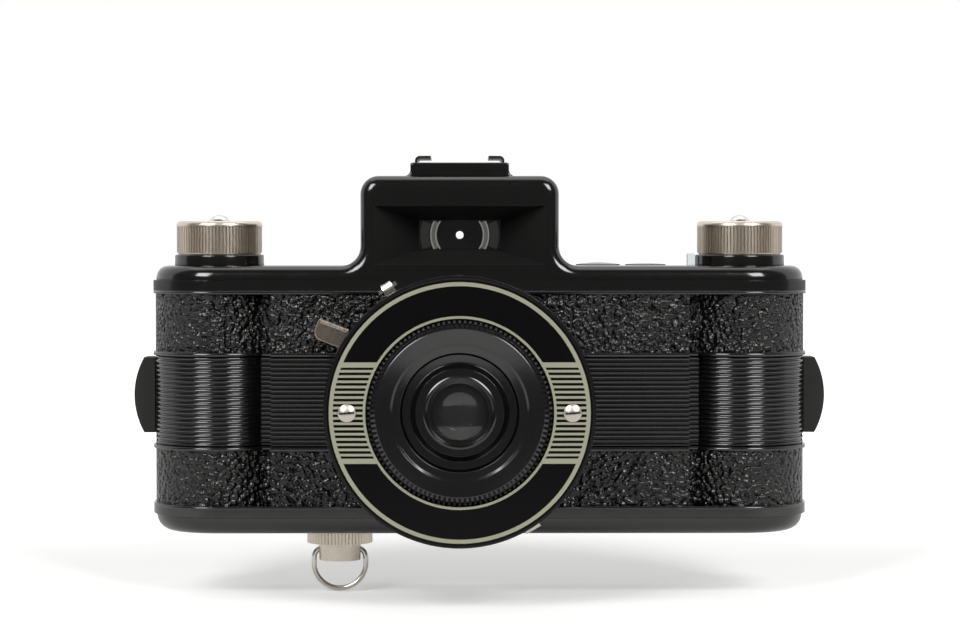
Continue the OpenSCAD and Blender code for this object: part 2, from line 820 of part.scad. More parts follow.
stop_arm_w = 2.4;
switch_arm_w = 2.6;
lever_arm_w = 3.6;

module lens_barrel() color("#1c1c1b") on_lens() difference() {
    union() {
        rotate_extrude() polygon([
            [rear_lens_r + seat_gap, 0],
            [barrel_r, 0],
            [barrel_r, barrel_h],
            [barrel_r - drum_wall, barrel_h],
            [barrel_r - drum_wall, shelf_z],
            [barrel_r - drum_wall - shelf_w, shelf_z],
            [barrel_r - drum_wall - shelf_w, wall],
            [rear_lens_r + seat_gap, wall]
        ]);
        for (a = drum_screw_dirs) at(polar(drum_screw_at, a), wall / 2)
            cylinder(h = wall / 2 + drum_boss_h, r = drum_boss_r);
        translate([0, 0, wall / 2]) {
            post(lever_pivot, lever_post_r, lever_layer - wall / 2, lever_t);
            post(blade_pivot, small_post_r, blade_layer - wall / 2, blade_t);
            post(stop_pivot, small_post_r, stop_layer - wall / 2, stop_t);
            post(switch_pivot, small_post_r, lever_layer - wall / 2, lever_t);
        }
    }
    for (a = drum_screw_dirs) at(polar(drum_screw_at, a), -over)
        cylinder(h = wall + drum_boss_h - 0.6, r = small_shank_r + seat_gap);
    swing_way(lever_pivot, lever_dir, lever_dir + lever_stroke, paddle_w, lever_layer, lever_t);
    swing_way(stop_pivot, stop_turn, stop_turn + stop_step, stop_arm_w, stop_layer, stop_t);
    swing_way(switch_pivot, switch_turn - switch_swing, switch_turn, switch_arm_w, lever_layer, lever_t);
}

module barrel_screws() color("#8f8b84") drum_screw_places() {
    head_z = -wall - leather_depth;
    translate([0, 0, head_z]) cylinder(h = wall + leather_depth + wall + drum_boss_h - 0.9, r = small_shank_r);
    translate([0, 0, head_z]) mirror([0, 0, 1]) cylinder(h = 1, r = drum_screw_r);
}

module lens_mount() color("#1a1a1a") on_lens() difference() {
    union() {
        translate([0, 0, shelf_z]) cylinder(h = mount_t, r = barrel_r - drum_wall - seat_gap);
        cylinder_from(guide_z - over, guide_top, guide_r);
        for (a = [0, 180]) at(polar(ring_screw_at, a), guide_z - over)
            cylinder(h = barrel_h - guide_z + over, r = column_r);
    }
    cylinder_from(guide_z, guide_top + over, cell_r + run_gap);
    cylinder_from(shelf_z - over, guide_z + over, element_r);
    translate([0, 0, guide_z]) key_bars(run_gap, guide_top - guide_z + over);
    for (a = [0, 180]) at(polar(ring_screw_at, a), guide_z + 2)
        cylinder(h = barrel_h, r = small_shank_r + seat_gap);
}

module cylinder_from(z0, z1, r) translate([0, 0, z0]) cylinder(h = z1 - z0, r = r);

// The two keys that stop the lens cell from turning
module key_bars(e, h) for (a = [0, 180]) rotate([0, 0, a])
    translate([cell_r - 1, -key_w / 2 - e, 0]) cube([1 + key_d + e, key_w + 2 * e, h]);

module front_ring() color("#161616") on_lens() difference() {
    translate([0, 0, barrel_h]) tube(ring_r, focus_r + free_gap, ring_t);
    for (a = [0, 180]) at(polar(ring_screw_at, a), barrel_h - over)
        cylinder(h = ring_t + 2 * over, r = small_shank_r + seat_gap);
}

module ring_screws() color("#d6d2cb") on_lens() for (a = [0, 180]) at(polar(ring_screw_at, a)) {
    cylinder_from(guide_z + 3, front_z, small_shank_r);
    translate([0, 0, front_z]) slotted_head(ring_screw_r, 1);
}

module rear_lens() color("#c9d3d6") on_lens() {
    cylinder(h = wall, r = rear_lens_r);
    mirror([0, 0, 1]) dome(rear_lens_r, 1.2);
}

// A wound spring round the lever's post, drawn as the sleeve that its turns fill
module shutter_spring() color("#a7a39b") on_lens() at(lever_pivot, wall)
    tube(lever_post_r + 1.8, lever_post_r + 1, lever_layer - wall - layer_gap);

module focus_ring() color("#181818") on_lens() rotate_extrude() polygon([
    [guide_r + run_gap, guide_z + 0.4],
    [focus_r, guide_z + 0.4],
    [focus_r, front_z - 0.6],
    [crest_r + 0.1, front_z + 0.8],
    [crest_r - 0.2, front_z + 0.8],
    [dish_r, front_z - 2.2],
    [dish_r, guide_top + 0.2],
    [guide_r + run_gap, guide_top + 0.2]
]);

module lens_cell() color("#181818") on_lens() {
    ridge_r = (dish_r + lens_r) / 2 - 0.4;
    rotate_extrude() polygon([
        [element_r + seat_gap, cell_back],
        [cell_r, cell_back],
        [cell_r, flange_z],
        [dish_r - free_gap, flange_z],
        [dish_r - free_gap, front_z - 2.6],
        [ridge_r + 1.6, front_z - 3],
        [ridge_r, front_z - 1.8],
        [lens_r + 1.2, front_z - 1.2],
        [lens_r + 1.05, front_z - 1.2],
        [lens_r + 1.05, front_z - 2.2],
        [bezel_r, front_z - 2.6],
        [bezel_r, cell_lip],
        [element_r + seat_gap, cell_lip]
    ]);
    translate([0, 0, cell_back]) difference() {
        key_bars(0, guide_top - cell_back);
        cylinder(h = far, r = cell_r - 0.2, center = true);
    }
}

module front_lens() color("#c9d3d6") on_lens() {
    cylinder_from(cell_lip - 3, cell_lip, element_r);
    translate([0, 0, cell_lip - over]) cylinder(h = 2 * over, r = lens_r);
    translate([0, 0, cell_lip + over]) dome(lens_r, dome_h);
}

module lens_retainer() color("#1a1a1a") on_lens() translate([0, 0, cell_lip - 5]) tube(element_r, light_r, 2);

// Shutter and stops

module lever_outline() {
    end_r2 = paddle_w / 2;
    circle(lever_post_r + 1.4);
    translate([0, -lever_arm_w / 2]) square([lever_len - end_r2, lever_arm_w]);
    translate([lever_len - 7, -end_r2]) square([7 - end_r2, paddle_w]);
    translate([lever_len - end_r2, 0]) circle(end_r2);
}

module shutter_lever() color("#74695f") on_lens() at(lever_pivot, lever_layer) difference() {
    union() {
        rotate([0, 0, lever_dir]) linear_extrude(lever_t) lever_outline();
        rotate([0, 0, pin_dir]) {
            translate([0, -1.4, 0]) cube([pin_at, 2.8, lever_t]);
            translate([pin_at, 0, 0]) cylinder(h = lever_t, r = 1.4);
            translate([pin_at, 0, blade_layer - layer_gap / 2 - lever_layer])
                cylinder(h = lever_layer - blade_layer + layer_gap / 2 + over, r = pin_r);
        }
    }
    translate([0, 0, -over]) cylinder(h = lever_t + 2 * over, r = lever_post_r + run_gap);
}

// A leaf that covers the light path at both ends of its stroke and opens it in the middle
module shutter_blade() color("#5d5d5a") on_lens() at(blade_pivot, blade_layer) difference() {
    to_axis = blade_turn + 180;
    sweep = blade_ratio * lever_stroke;
    spread = 11;
    reach = blade_at + 4.5;
    union() {
        rotate([0, 0, to_axis - spread]) rotate_extrude(angle = sweep + 2 * spread) square([reach, blade_t]);
        cylinder(h = blade_t, r = small_post_r + 1.9);
        rotate([0, 0, tail_dir]) translate([0, -tail_w / 2, 0]) cube([slot_at + 3.2, tail_w, blade_t]);
    }
    translate([0, 0, -over]) {
        cylinder(h = 1, r = small_post_r + run_gap);
        rotate([0, 0, to_axis + sweep / 2]) translate([blade_at, 0, 0]) cylinder(h = 1, r = window_r);
        rotate([0, 0, tail_dir]) translate([slot_at - 1.6, -pin_r - 0.35, 0]) cube([3.8, 2 * pin_r + 0.7, 1]);
    }
}

module tab(at_r, w, z0, z1) translate([at_r, -w / 2, z0]) cube([0.9, w, z1 - z0]);

module stop_plate() color("#5d5d5a") on_lens() at(stop_pivot, stop_layer) rotate([0, 0, stop_turn]) {
    tab_at = barrel_r + tab_gap - stop_at;
    difference() {
        union() {
            cylinder(h = stop_t, r = small_post_r + 1.9);
            translate([0, -stop_arm_w / 2, 0]) cube([tab_at + over, stop_arm_w, stop_t]);
            for (a = [180 - stop_step, 180]) rotate([0, 0, a]) {
                translate([0, -2.4, 0]) cube([stop_at, 4.8, stop_t]);
                translate([stop_at, 0, 0]) cylinder(h = stop_t, r = 3.4);
            }
        }
        translate([0, 0, -over]) {
            cylinder(h = 1, r = small_post_r + run_gap);
            rotate([0, 0, 180]) translate([stop_at, 0, 0]) cylinder(h = 1, r = wide_stop_r);
            rotate([0, 0, 180 - stop_step]) translate([stop_at, 0, 0]) cylinder(h = 1, r = small_stop_r);
        }
    }
    tab(tab_at, 3.7, 0, stop_t + 0.8);
}

module exposure_switch() color("#c9c4bb") on_lens() at(switch_pivot, lever_layer) rotate([0, 0, switch_turn]) {
    tab_at = barrel_r + tab_gap - switch_at;
    difference() {
        union() {
            cylinder(h = lever_t, r = small_post_r + 1.5);
            translate([0, -switch_arm_w / 2, 0]) cube([tab_at + over, switch_arm_w, lever_t]);
        }
        translate([0, 0, -over]) cylinder(h = lever_t + 2 * over, r = small_post_r + run_gap);
    }
    tab(tab_at, 4.4, 0, lever_t + 1.2);
}

// Film path

module light_cone(e) translate([lens_x, 0, lens_z]) intersection() {
    y0 = -inner_front;
    y1 = gate_y + over;
    slab(-far / 4, far / 4) polygon([
        [-cone_front - e, y0], [cone_front + e, y0], [gate_w / 2 + e, y1], [-gate_w / 2 - e, y1]
    ]);
    along_x(-far / 4, far / 4) polygon([
        [y0, -cone_front - e], [y1, -gate_h / 2 - e], [y1, gate_h / 2 + e], [y0, cone_front + e]
    ]);
}

module film_chassis() color("#151515") difference() {
    union() {
        light_cone(cone_t);
        block([gate_left, gate_y, deck_low], [gate_right, gate_y + gate_t, deck_top]);
        for (side = [-1, 1]) {
            rail_z = lens_z + side * (gate_h / 2 + rail_w / 2 + 0.3);
            block([gate_left, gate_y, rail_z - rail_w / 2], [gate_right, film_y, rail_z + rail_w / 2]);
        }
        block([gate_left, -inner_front, deck_low], [gate_left + 1, gate_y + gate_t, deck_top]);
    }
    light_cone(0);
    block(
        [lens_x - gate_w / 2, gate_y - over, lens_z - gate_h / 2],
        [lens_x + gate_w / 2, film_y + over, lens_z + gate_h / 2]
    );
    translate([sprocket_x, sprocket_y, 0]) cylinder(h = far, r = sprocket_r + tooth_h + free_gap);
}

module sprocket() color("#20201f") translate([sprocket_x, sprocket_y, 0]) {
    low = lens_z - row_gap / 2 - 3;
    high = lens_z + row_gap / 2 + 3;
    cylinder_from(base_h + over, gear_z + gear_t, sprocket_shaft_r);
    cylinder_from(low, high, sprocket_r - 0.8);
    for (side = [-1, 1]) translate([0, 0, lens_z + side * row_gap / 2]) {
        translate([0, 0, -2.6]) cylinder(h = 5.2, r = sprocket_r);
        for (i = [0 : sprocket_teeth - 1]) rotate([0, 0, (i + 0.5) * 360 / sprocket_teeth])
            translate([sprocket_r - 0.6, -tooth_l / 2, -tooth_w / 2]) cube([tooth_h + 0.6, tooth_l, tooth_w]);
    }
}

module pinion() color("#e4e1d8") translate([sprocket_x, sprocket_y, gear_z]) difference() {
    rotate([0, 0, 180]) linear_extrude(gear_t) polygon(gear_outline(pinion_teeth));
    translate([0, 0, -over]) cylinder(h = gear_t + 2 * over, r = sprocket_shaft_r + seat_gap);
}

module counter_dial() color("#e4e1d8") translate([dial_x, sprocket_y, gear_z]) difference() {
    rotate([0, 0, 180 / dial_teeth]) linear_extrude(gear_t) polygon(gear_outline(dial_teeth));
    translate([0, 0, -over]) cylinder(h = gear_t + 2 * over, r = sprocket_shaft_r + run_gap);
}

// Knobs, shafts and the take-up spool

module knob_shape() difference() {
    union() {
        slab(knob_z, knob_top - knob_rim) toothed_disc(knob_r - rim_proud, flute_d, knob_flutes);
        translate([0, 0, knob_top - knob_rim]) rotate_extrude() rounded_edge(knob_r, knob_rim, knob_round);
    }
    cylinder_from(knob_z - over, shaft_top, shaft_r + seat_gap);
    cylinder_from(shaft_top - over, knob_top + over, cap_shank_r + seat_gap);
}

module knob_screw() {
    cylinder_from(knob_z + 1.4, knob_top, cap_shank_r);
    translate([0, 0, knob_top]) slotted_head(cap_r, cap_h);
}

module advance_knob() color("#968c82") translate([chamber_x, 0, 0]) knob_shape();

module advance_screw() color("#d6d2cb") translate([chamber_x, 0, 0]) knob_screw();

module advance_shaft() color("#8f8b84") translate([chamber_x, 0, 0]) difference() {
    union() {
        cylinder_from(base_h + over, deck_low + 0.1, pivot_r);
        cylinder_from(deck_low + 0.1, shaft_top, shaft_r);
    }
    cylinder_from(knob_z + 1.4, knob_top, cap_shank_r + seat_gap);
}

module take_up_spool() color("#20201f") translate([chamber_x, 0, 0]) {
    low = deck_low + 0.4;
    high = deck_top - 0.4;
    difference() {
        union() {
            cylinder_from(low, high, spool_r);
            cylinder_from(low, low + flange_t, flange_r);
            cylinder_from(high - flange_t, high, flange_r);
        }
        cylinder_from(low - over, high + over, shaft_r + seat_gap);
        block([-spool_r, -0.8, lens_z - 12], [0, 0.8, lens_z + 12]);
    }
}

module rewind_hub() color("#8f8b84") translate([-chamber_x, 0, 0]) difference() {
    union() {
        cylinder_from(top_z + 0.1, collar_z - 0.1, hub_r);
        cylinder_from(top_z + 0.1, ceiling_z - 0.2, hub_flange_r);
    }
    slab(top_z, collar_z) flatted(shaft_r + run_gap, shaft_flat + run_gap);
}

module rewind_shaft() color("#8f8b84") translate([-chamber_x, 0, 0]) difference() {
    union() {
        slab(fork_z + fork_h, shaft_top) flatted(shaft_r, shaft_flat);
        block([0.3 - shaft_r, -0.6, fork_z], [shaft_r - 0.3, 0.6, fork_z + fork_h + over]);
    }
    block([-1, -1, fork_z - over], [1, 1, fork_z + 3]);
    cylinder_from(knob_z + 1.4, knob_top, cap_shank_r + seat_gap);
}

module rewind_knob() color("#968c82") translate([-chamber_x, 0, 0]) knob_shape();

module rewind_screw() color("#d6d2cb") translate([-chamber_x, 0, 0]) knob_screw();

// Back

module both_ends() for (side = [0, 1]) mirror([side, 0, 0]) children();

module pad() difference() {
    block([chamber_x, pad_front, pad_low], [pad_x, pad_back, pad_high]);
    translate([chamber_x, 0, 0]) cylinder(h = far, r = chamber_r + wall / 2);
}

// The T-shaped slot of a latch, or its T-shaped key
module key_room(e, z0, z1) {
    neck_x = pad_x - neck_l;
    block([neck_x - over, key_y - key_neck / 2 - e, z0], [latch_face + over, key_y + key_neck / 2 + e, z1]);
    block([neck_x - head_l - e, key_y - key_head / 2 - e, z0], [neck_x + e, key_y + key_head / 2 + e, z1]);
}

module back_cover() color("#1c1c1b") difference() {
    union() {
        difference() {
            union() {
                slab(back_low, back_top) back_plan(-rib_depth);
                for (zone = zones) slab(zone[0], zone[1]) back_plan(zone[2]);
                slab(back_low, base_h + low_rim_h) back_plan(leather_depth);
                slab(top_z - top_rim_h, back_top) back_plan(leather_depth);
            }
            slab(0, far) stadium(chamber_r);
        }
        both_ends() pad();
    }
    both_ends() key_room(free_gap, pad_low - over, latch_z + latch_guide_h / 2 + latch_slide + free_gap);
}

module pressure_plate() color("#8f8b84") translate([lens_x - 0.6, 0, lens_z]) block(
    [-plate_w / 2, plate_y, -plate_h / 2],
    [plate_w / 2, plate_y + plate_t, plate_h / 2]
);

// A bowed leaf between the plate and the back
module pressure_spring() color("#a7a39b") translate([lens_x, 0, lens_z]) slab(-leaf_w / 2, leaf_w / 2) {
    y0 = plate_y + plate_t;
    y1 = chamber_r - leaf_t;
    bend = leaf_half - leaf_foot;
    polygon([
        [-leaf_half, y0], [-bend, y0], [-leaf_crown, y1], [leaf_crown, y1], [bend, y0], [leaf_half, y0],
        [leaf_half, y0 + leaf_t], [bend, y0 + leaf_t], [leaf_crown, y1 + leaf_t], [-leaf_crown, y1 + leaf_t],
        [-bend, y0 + leaf_t], [-leaf_half, y0 + leaf_t]
    ]);
}

// A finger slide with a bowed outer face and a T-shaped key
module latch() {
    bow_x = latch_out - latch_flat;
    bow = (latch_h * latch_h / 4 + bow_x * bow_x) / (2 * bow_x);
    reach = chamber_x + end_r + latch_out;
    along_y(latch_front, latch_front + latch_d) intersection() {
        translate([latch_face, latch_z - latch_h / 2]) square([reach - latch_face, latch_h]);
        translate([reach - bow, latch_z]) circle(bow);
    }
    key_room(0, latch_z - latch_guide_h / 2, latch_z + latch_guide_h / 2);
}

module right_latch() color("#383630") latch();

module left_latch() color("#383630") mirror([1, 0, 0]) latch();

// Strap screw and ring

module strap_screw() color("#c8bfb2") translate([strap_x, 0, 0]) difference() {
    union() {
        slab(-strap_disc_h, strap_recess - run_gap) toothed_disc(strap_disc_r, 0.3, strap_teeth);
        cylinder_from(-strap_disc_h - boss_h, 0, boss_r);
        cylinder_from(0, deck_low, thread_r);
    }
    translate([0, 0, hinge_z]) rotate([0, 90, 0])
        cylinder(h = 4 * boss_r, r = wire_r + run_gap, center = true);
}

module strap_ring() color("#bdb8b0") translate([strap_x, 0, hinge_z]) {
    translate([0, 0, -leg_h]) rotate([-90, 0, 0])
        rotate_extrude(angle = 180) translate([bow_r, 0]) circle(wire_r);
    for (side = [-1, 1]) {
        translate([side * bow_r, 0, -leg_h]) cylinder(h = leg_h, r = wire_r);
        translate([side * bow_r, 0, 0]) sphere(wire_r);
        translate([side * bow_r, 0, 0]) rotate([0, -side * 90, 0]) cylinder(h = bow_r - 1.6, r = wire_r);
    }
}

body_shell();
bottom_plate();
top_cover();
film_chassis();
tripod_bush();
bottom_screws();
lens_barrel();
barrel_screws();
lens_mount();
front_ring();
ring_screws();
rear_lens();
shutter_spring();
finder_glass();
finder_eyepiece();
shoe_plate();
shoe_insulator();
shoe_contact();
shoe_screws();
dial_window();
pinion_window();
index_tab();
back_cover();
pressure_plate();
pressure_spring();
left_latch();
right_latch();
focus_ring();
lens_cell();
front_lens();
lens_retainer();
shutter_lever();
shutter_blade();
stop_plate();
exposure_switch();
advance_shaft();
advance_knob();
advance_screw();
take_up_spool();
rewind_hub();
rewind_shaft();
rewind_knob();
rewind_screw();
sprocket();
pinion();
counter_dial();
strap_screw();
strap_ring();
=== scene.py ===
"""Looks of a moulded panoramic film camera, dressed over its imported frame."""

import json
import logging
import math
from collections.abc import Iterable
from dataclasses import dataclass, field
from enum import Enum

import bmesh
import bpy
from mathutils import Matrix, Vector


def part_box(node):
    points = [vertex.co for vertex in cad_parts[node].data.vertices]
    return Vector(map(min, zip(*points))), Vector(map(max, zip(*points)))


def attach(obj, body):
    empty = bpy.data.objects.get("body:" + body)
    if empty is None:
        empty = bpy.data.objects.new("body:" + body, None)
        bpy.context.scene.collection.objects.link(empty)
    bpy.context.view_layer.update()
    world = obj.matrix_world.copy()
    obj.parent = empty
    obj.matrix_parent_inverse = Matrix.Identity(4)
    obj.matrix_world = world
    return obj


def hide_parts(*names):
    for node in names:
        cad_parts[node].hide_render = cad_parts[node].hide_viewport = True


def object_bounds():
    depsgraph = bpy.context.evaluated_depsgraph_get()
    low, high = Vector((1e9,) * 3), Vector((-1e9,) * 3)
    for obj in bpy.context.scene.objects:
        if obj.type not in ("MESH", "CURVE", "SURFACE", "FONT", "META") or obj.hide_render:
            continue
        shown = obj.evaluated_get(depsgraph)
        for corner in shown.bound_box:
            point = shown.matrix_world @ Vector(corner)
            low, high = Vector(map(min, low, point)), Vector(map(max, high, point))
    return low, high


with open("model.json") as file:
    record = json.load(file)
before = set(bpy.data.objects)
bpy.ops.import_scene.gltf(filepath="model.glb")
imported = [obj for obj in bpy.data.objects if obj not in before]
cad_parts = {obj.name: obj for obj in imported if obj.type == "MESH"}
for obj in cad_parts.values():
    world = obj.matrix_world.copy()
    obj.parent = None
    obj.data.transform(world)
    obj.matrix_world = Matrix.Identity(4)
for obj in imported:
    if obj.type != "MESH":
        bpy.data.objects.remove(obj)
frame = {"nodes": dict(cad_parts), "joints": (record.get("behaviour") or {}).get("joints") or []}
CAD_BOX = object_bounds()

Tree = bpy.types.NodeTree
Socket = bpy.types.NodeSocket
Mesh = bmesh.types.BMesh
Span = tuple[float, float]
Spans = tuple[Span, ...]
Triple = tuple[float, float, float]

MM = 0.001
RIGHT = Vector((1.0, 0.0, 0.0))
UP = Vector((0.0, 0.0, 1.0))
FRONT = Vector((0.0, -1.0, 0.0))
WHITE = (1.0, 1.0, 1.0, 1.0)

# Degrees: edges sharper than this stay sharp
SMOOTH_ANGLE = 32.0
# Millimetres: how near two places count as one, and two points of a turned profile
NEAR = 0.002
SAME = 1e-5
# Millimetres: how far a cutter reaches past a face, and the gap of a fit
PAST = 1.0
FIT = 0.02
# Sides of a round wire
WIRE_SIDES = 12
# Octaves of the polish's noise and of the pebbles' unevenness, and how softly pebbles meet
POLISH_DETAIL = 4.0
WOBBLE_DETAIL = 3.0
PEBBLE_SOFTNESS = 0.35
# Least roughness of a surface, and samples of a rounded edge
LEAST_ROUGHNESS = 0.02
EDGE_SAMPLES = 4
# Shares of the radius at which a screw's dome, a window's dome and a tab's bend are drawn
SCREW_DOME = (1, 0.9, 0.75, 0.55, 0.3, 0)
WINDOW_DOME = (0.95, 0.8, 0.6, 0.4, 0.2, 0)
TAB_BEND = (0, 0.2, 0.4, 0.6, 0.8, 1)
# Spans from the middle of the front lens to its edge
LENS_STEPS = 12

log = logging.getLogger("camera")


class Body(Enum):
    """The moving bodies that new pieces ride on."""

    CAMERA = "camera_body"
    FOCUS = "focus_ring"
    CELL = "lens_cell"
    ADVANCE = "advance"
    REWIND = "rewind"
    SWITCH = "exposure_switch"
    STRAP_RING = "strap_ring"
    LEVER = "shutter_lever"
    STOP = "stop_plate"


def linear(hex_colour: str) -> tuple[float, ...]:
    """Turns an sRGB hex colour into linear light.

    Args:
        hex_colour: Six hex digits after a hash.

    Returns:
        Red, green, blue and an alpha of one.
    """
    parts = [int(hex_colour[i:i + 2], 16) / 255 for i in (1, 3, 5)]
    light = [c / 12.92 if c <= 0.04045 else ((c + 0.055) / 1.055) ** 2.4 for c in parts]
    return (*light, 1.0)


def add_node(tree: Tree, kind: str, links: dict | None = None, **settings) -> bpy.types.Node:
    """Adds a node with its settings and links.

    Args:
        tree: The material's node tree.
        kind: The node's type name, without its common prefix.
        links: Input name or index to a source socket or a constant.
        settings: Attributes of the node.

    Returns:
        The new node.
    """
    node = tree.nodes.new("ShaderNode" + kind)
    for name, value in settings.items():
        setattr(node, name, value)
    for name, source in (links or {}).items():
        if isinstance(source, bpy.types.NodeSocket):
            tree.links.new(source, node.inputs[name])
        else:
            node.inputs[name].default_value = source
    return node


def compute(tree: Tree, operation: str, *values, kind: str = "Math") -> Socket:
    """Adds a node that computes one result.

    Args:
        tree: The material's node tree.
        operation: What it computes.
        values: A socket or a constant for each input.
        kind: Math, or VectorMath for vectors.

    Returns:
        The result.
    """
    return add_node(tree, kind, dict(enumerate(values)), operation=operation).outputs[0]


def ramp(tree: Tree, value: Socket, to: Span, start: Span = (0.0, 1.0)) -> Socket:
    """Maps a value from one span to another.

    Args:
        tree: The material's node tree.
        value: The value.
        to: What the two ends of its span become.
        start: Its span.

    Returns:
        The mapped value.
    """
    return add_node(tree, "MapRange", {
        "Value": value, "From Min": start[0], "From Max": start[1],
        "To Min": to[0], "To Max": to[1],
    }).outputs["Result"]


def coordinate(tree: Tree, place: Socket, axis: str) -> Socket:
    """Gives one coordinate of a place."""
    return add_node(tree, "SeparateXYZ", {"Vector": place}).outputs[axis]


@dataclass(frozen=True)
class Finish:
    """A surface with a fine uneven polish."""

    name: str  # What the material is and how it was made
    colour: str  # Its sRGB colour
    roughness: float  # Typical roughness
    metallic: float = 0.0  # One for bare metal
    grain_mm: float = 1.2  # Size of the unevenness
    grain_depth_mm: float = 0.004  # Depth of the unevenness
    mottle: float = 0.05  # How far the roughness wanders
    shine: float = 0.5  # Strength of the reflection at normal view, where 0.5 is plain plastic
    edge_mm: float = 0.0  # Radius by which edges look rounded
    # Glow is painted light: emission that stands for light coming through from behind
    glow: float = 0.0  # Light that comes through from behind, where one is white

    def build(self) -> bpy.types.Material:
        """Makes the material, or returns the one already made."""
        made = bpy.data.materials.get(self.name)
        if made:
            return made
        made = bpy.data.materials.new(self.name)
        made.use_nodes = True
        tree = made.node_tree
        shader = tree.nodes["Principled BSDF"]
        shader.inputs["Metallic"].default_value = self.metallic
        shader.inputs["Specular IOR Level"].default_value = self.shine
        shader.inputs["Base Color"].default_value = linear(self.colour)
        shader.inputs["Emission Color"].default_value = linear(self.colour)
        shader.inputs["Emission Strength"].default_value = self.glow
        self.dress(tree, shader, add_node(tree, "TexCoord").outputs["Object"])
        return made

    def dress(self, tree: Tree, shader: bpy.types.Node, place: Socket) -> None:
        """Adds the uneven polish.

        Args:
            tree: The material's node tree.
            shader: Its surface shader.
            place: Object coordinates in metres.
        """
        noise = add_node(tree, "TexNoise", {
            "Vector": place, "Scale": 1 / (self.grain_mm * MM), "Detail": POLISH_DETAIL,
        }).outputs["Fac"]
        self.polish(tree, shader, noise)
        self.raise_grain(tree, shader, noise, self.grain_depth_mm)

    def polish(self, tree: Tree, shader: bpy.types.Node, noise: Socket) -> None:
        """Lets the roughness wander.

        Args:
            tree: The material's node tree.
            shader: Its surface shader.
            noise: How rough each place is, from zero to one.
        """
        least = max(self.roughness - self.mottle, LEAST_ROUGHNESS)
        rough = ramp(tree, noise, (least, self.roughness + self.mottle))
        tree.links.new(rough, shader.inputs["Roughness"])

    def raise_grain(self, tree: Tree, shader: bpy.types.Node, height: Socket,
                    depth_mm: float) -> None:
        """Bumps the surface, over edges that look rounded.

        Args:
            tree: The material's node tree.
            shader: Its surface shader.
            height: The grain's height, from zero to one.
            depth_mm: What a height of one stands for.
        """
        links = {"Height": height, "Distance": depth_mm * MM}
        if self.edge_mm:
            edge = add_node(tree, "Bevel", {"Radius": self.edge_mm * MM}, samples=EDGE_SAMPLES)
            links["Normal"] = edge.outputs["Normal"]
        bump = add_node(tree, "Bump", links)
        tree.links.new(bump.outputs["Normal"], shader.inputs["Normal"])


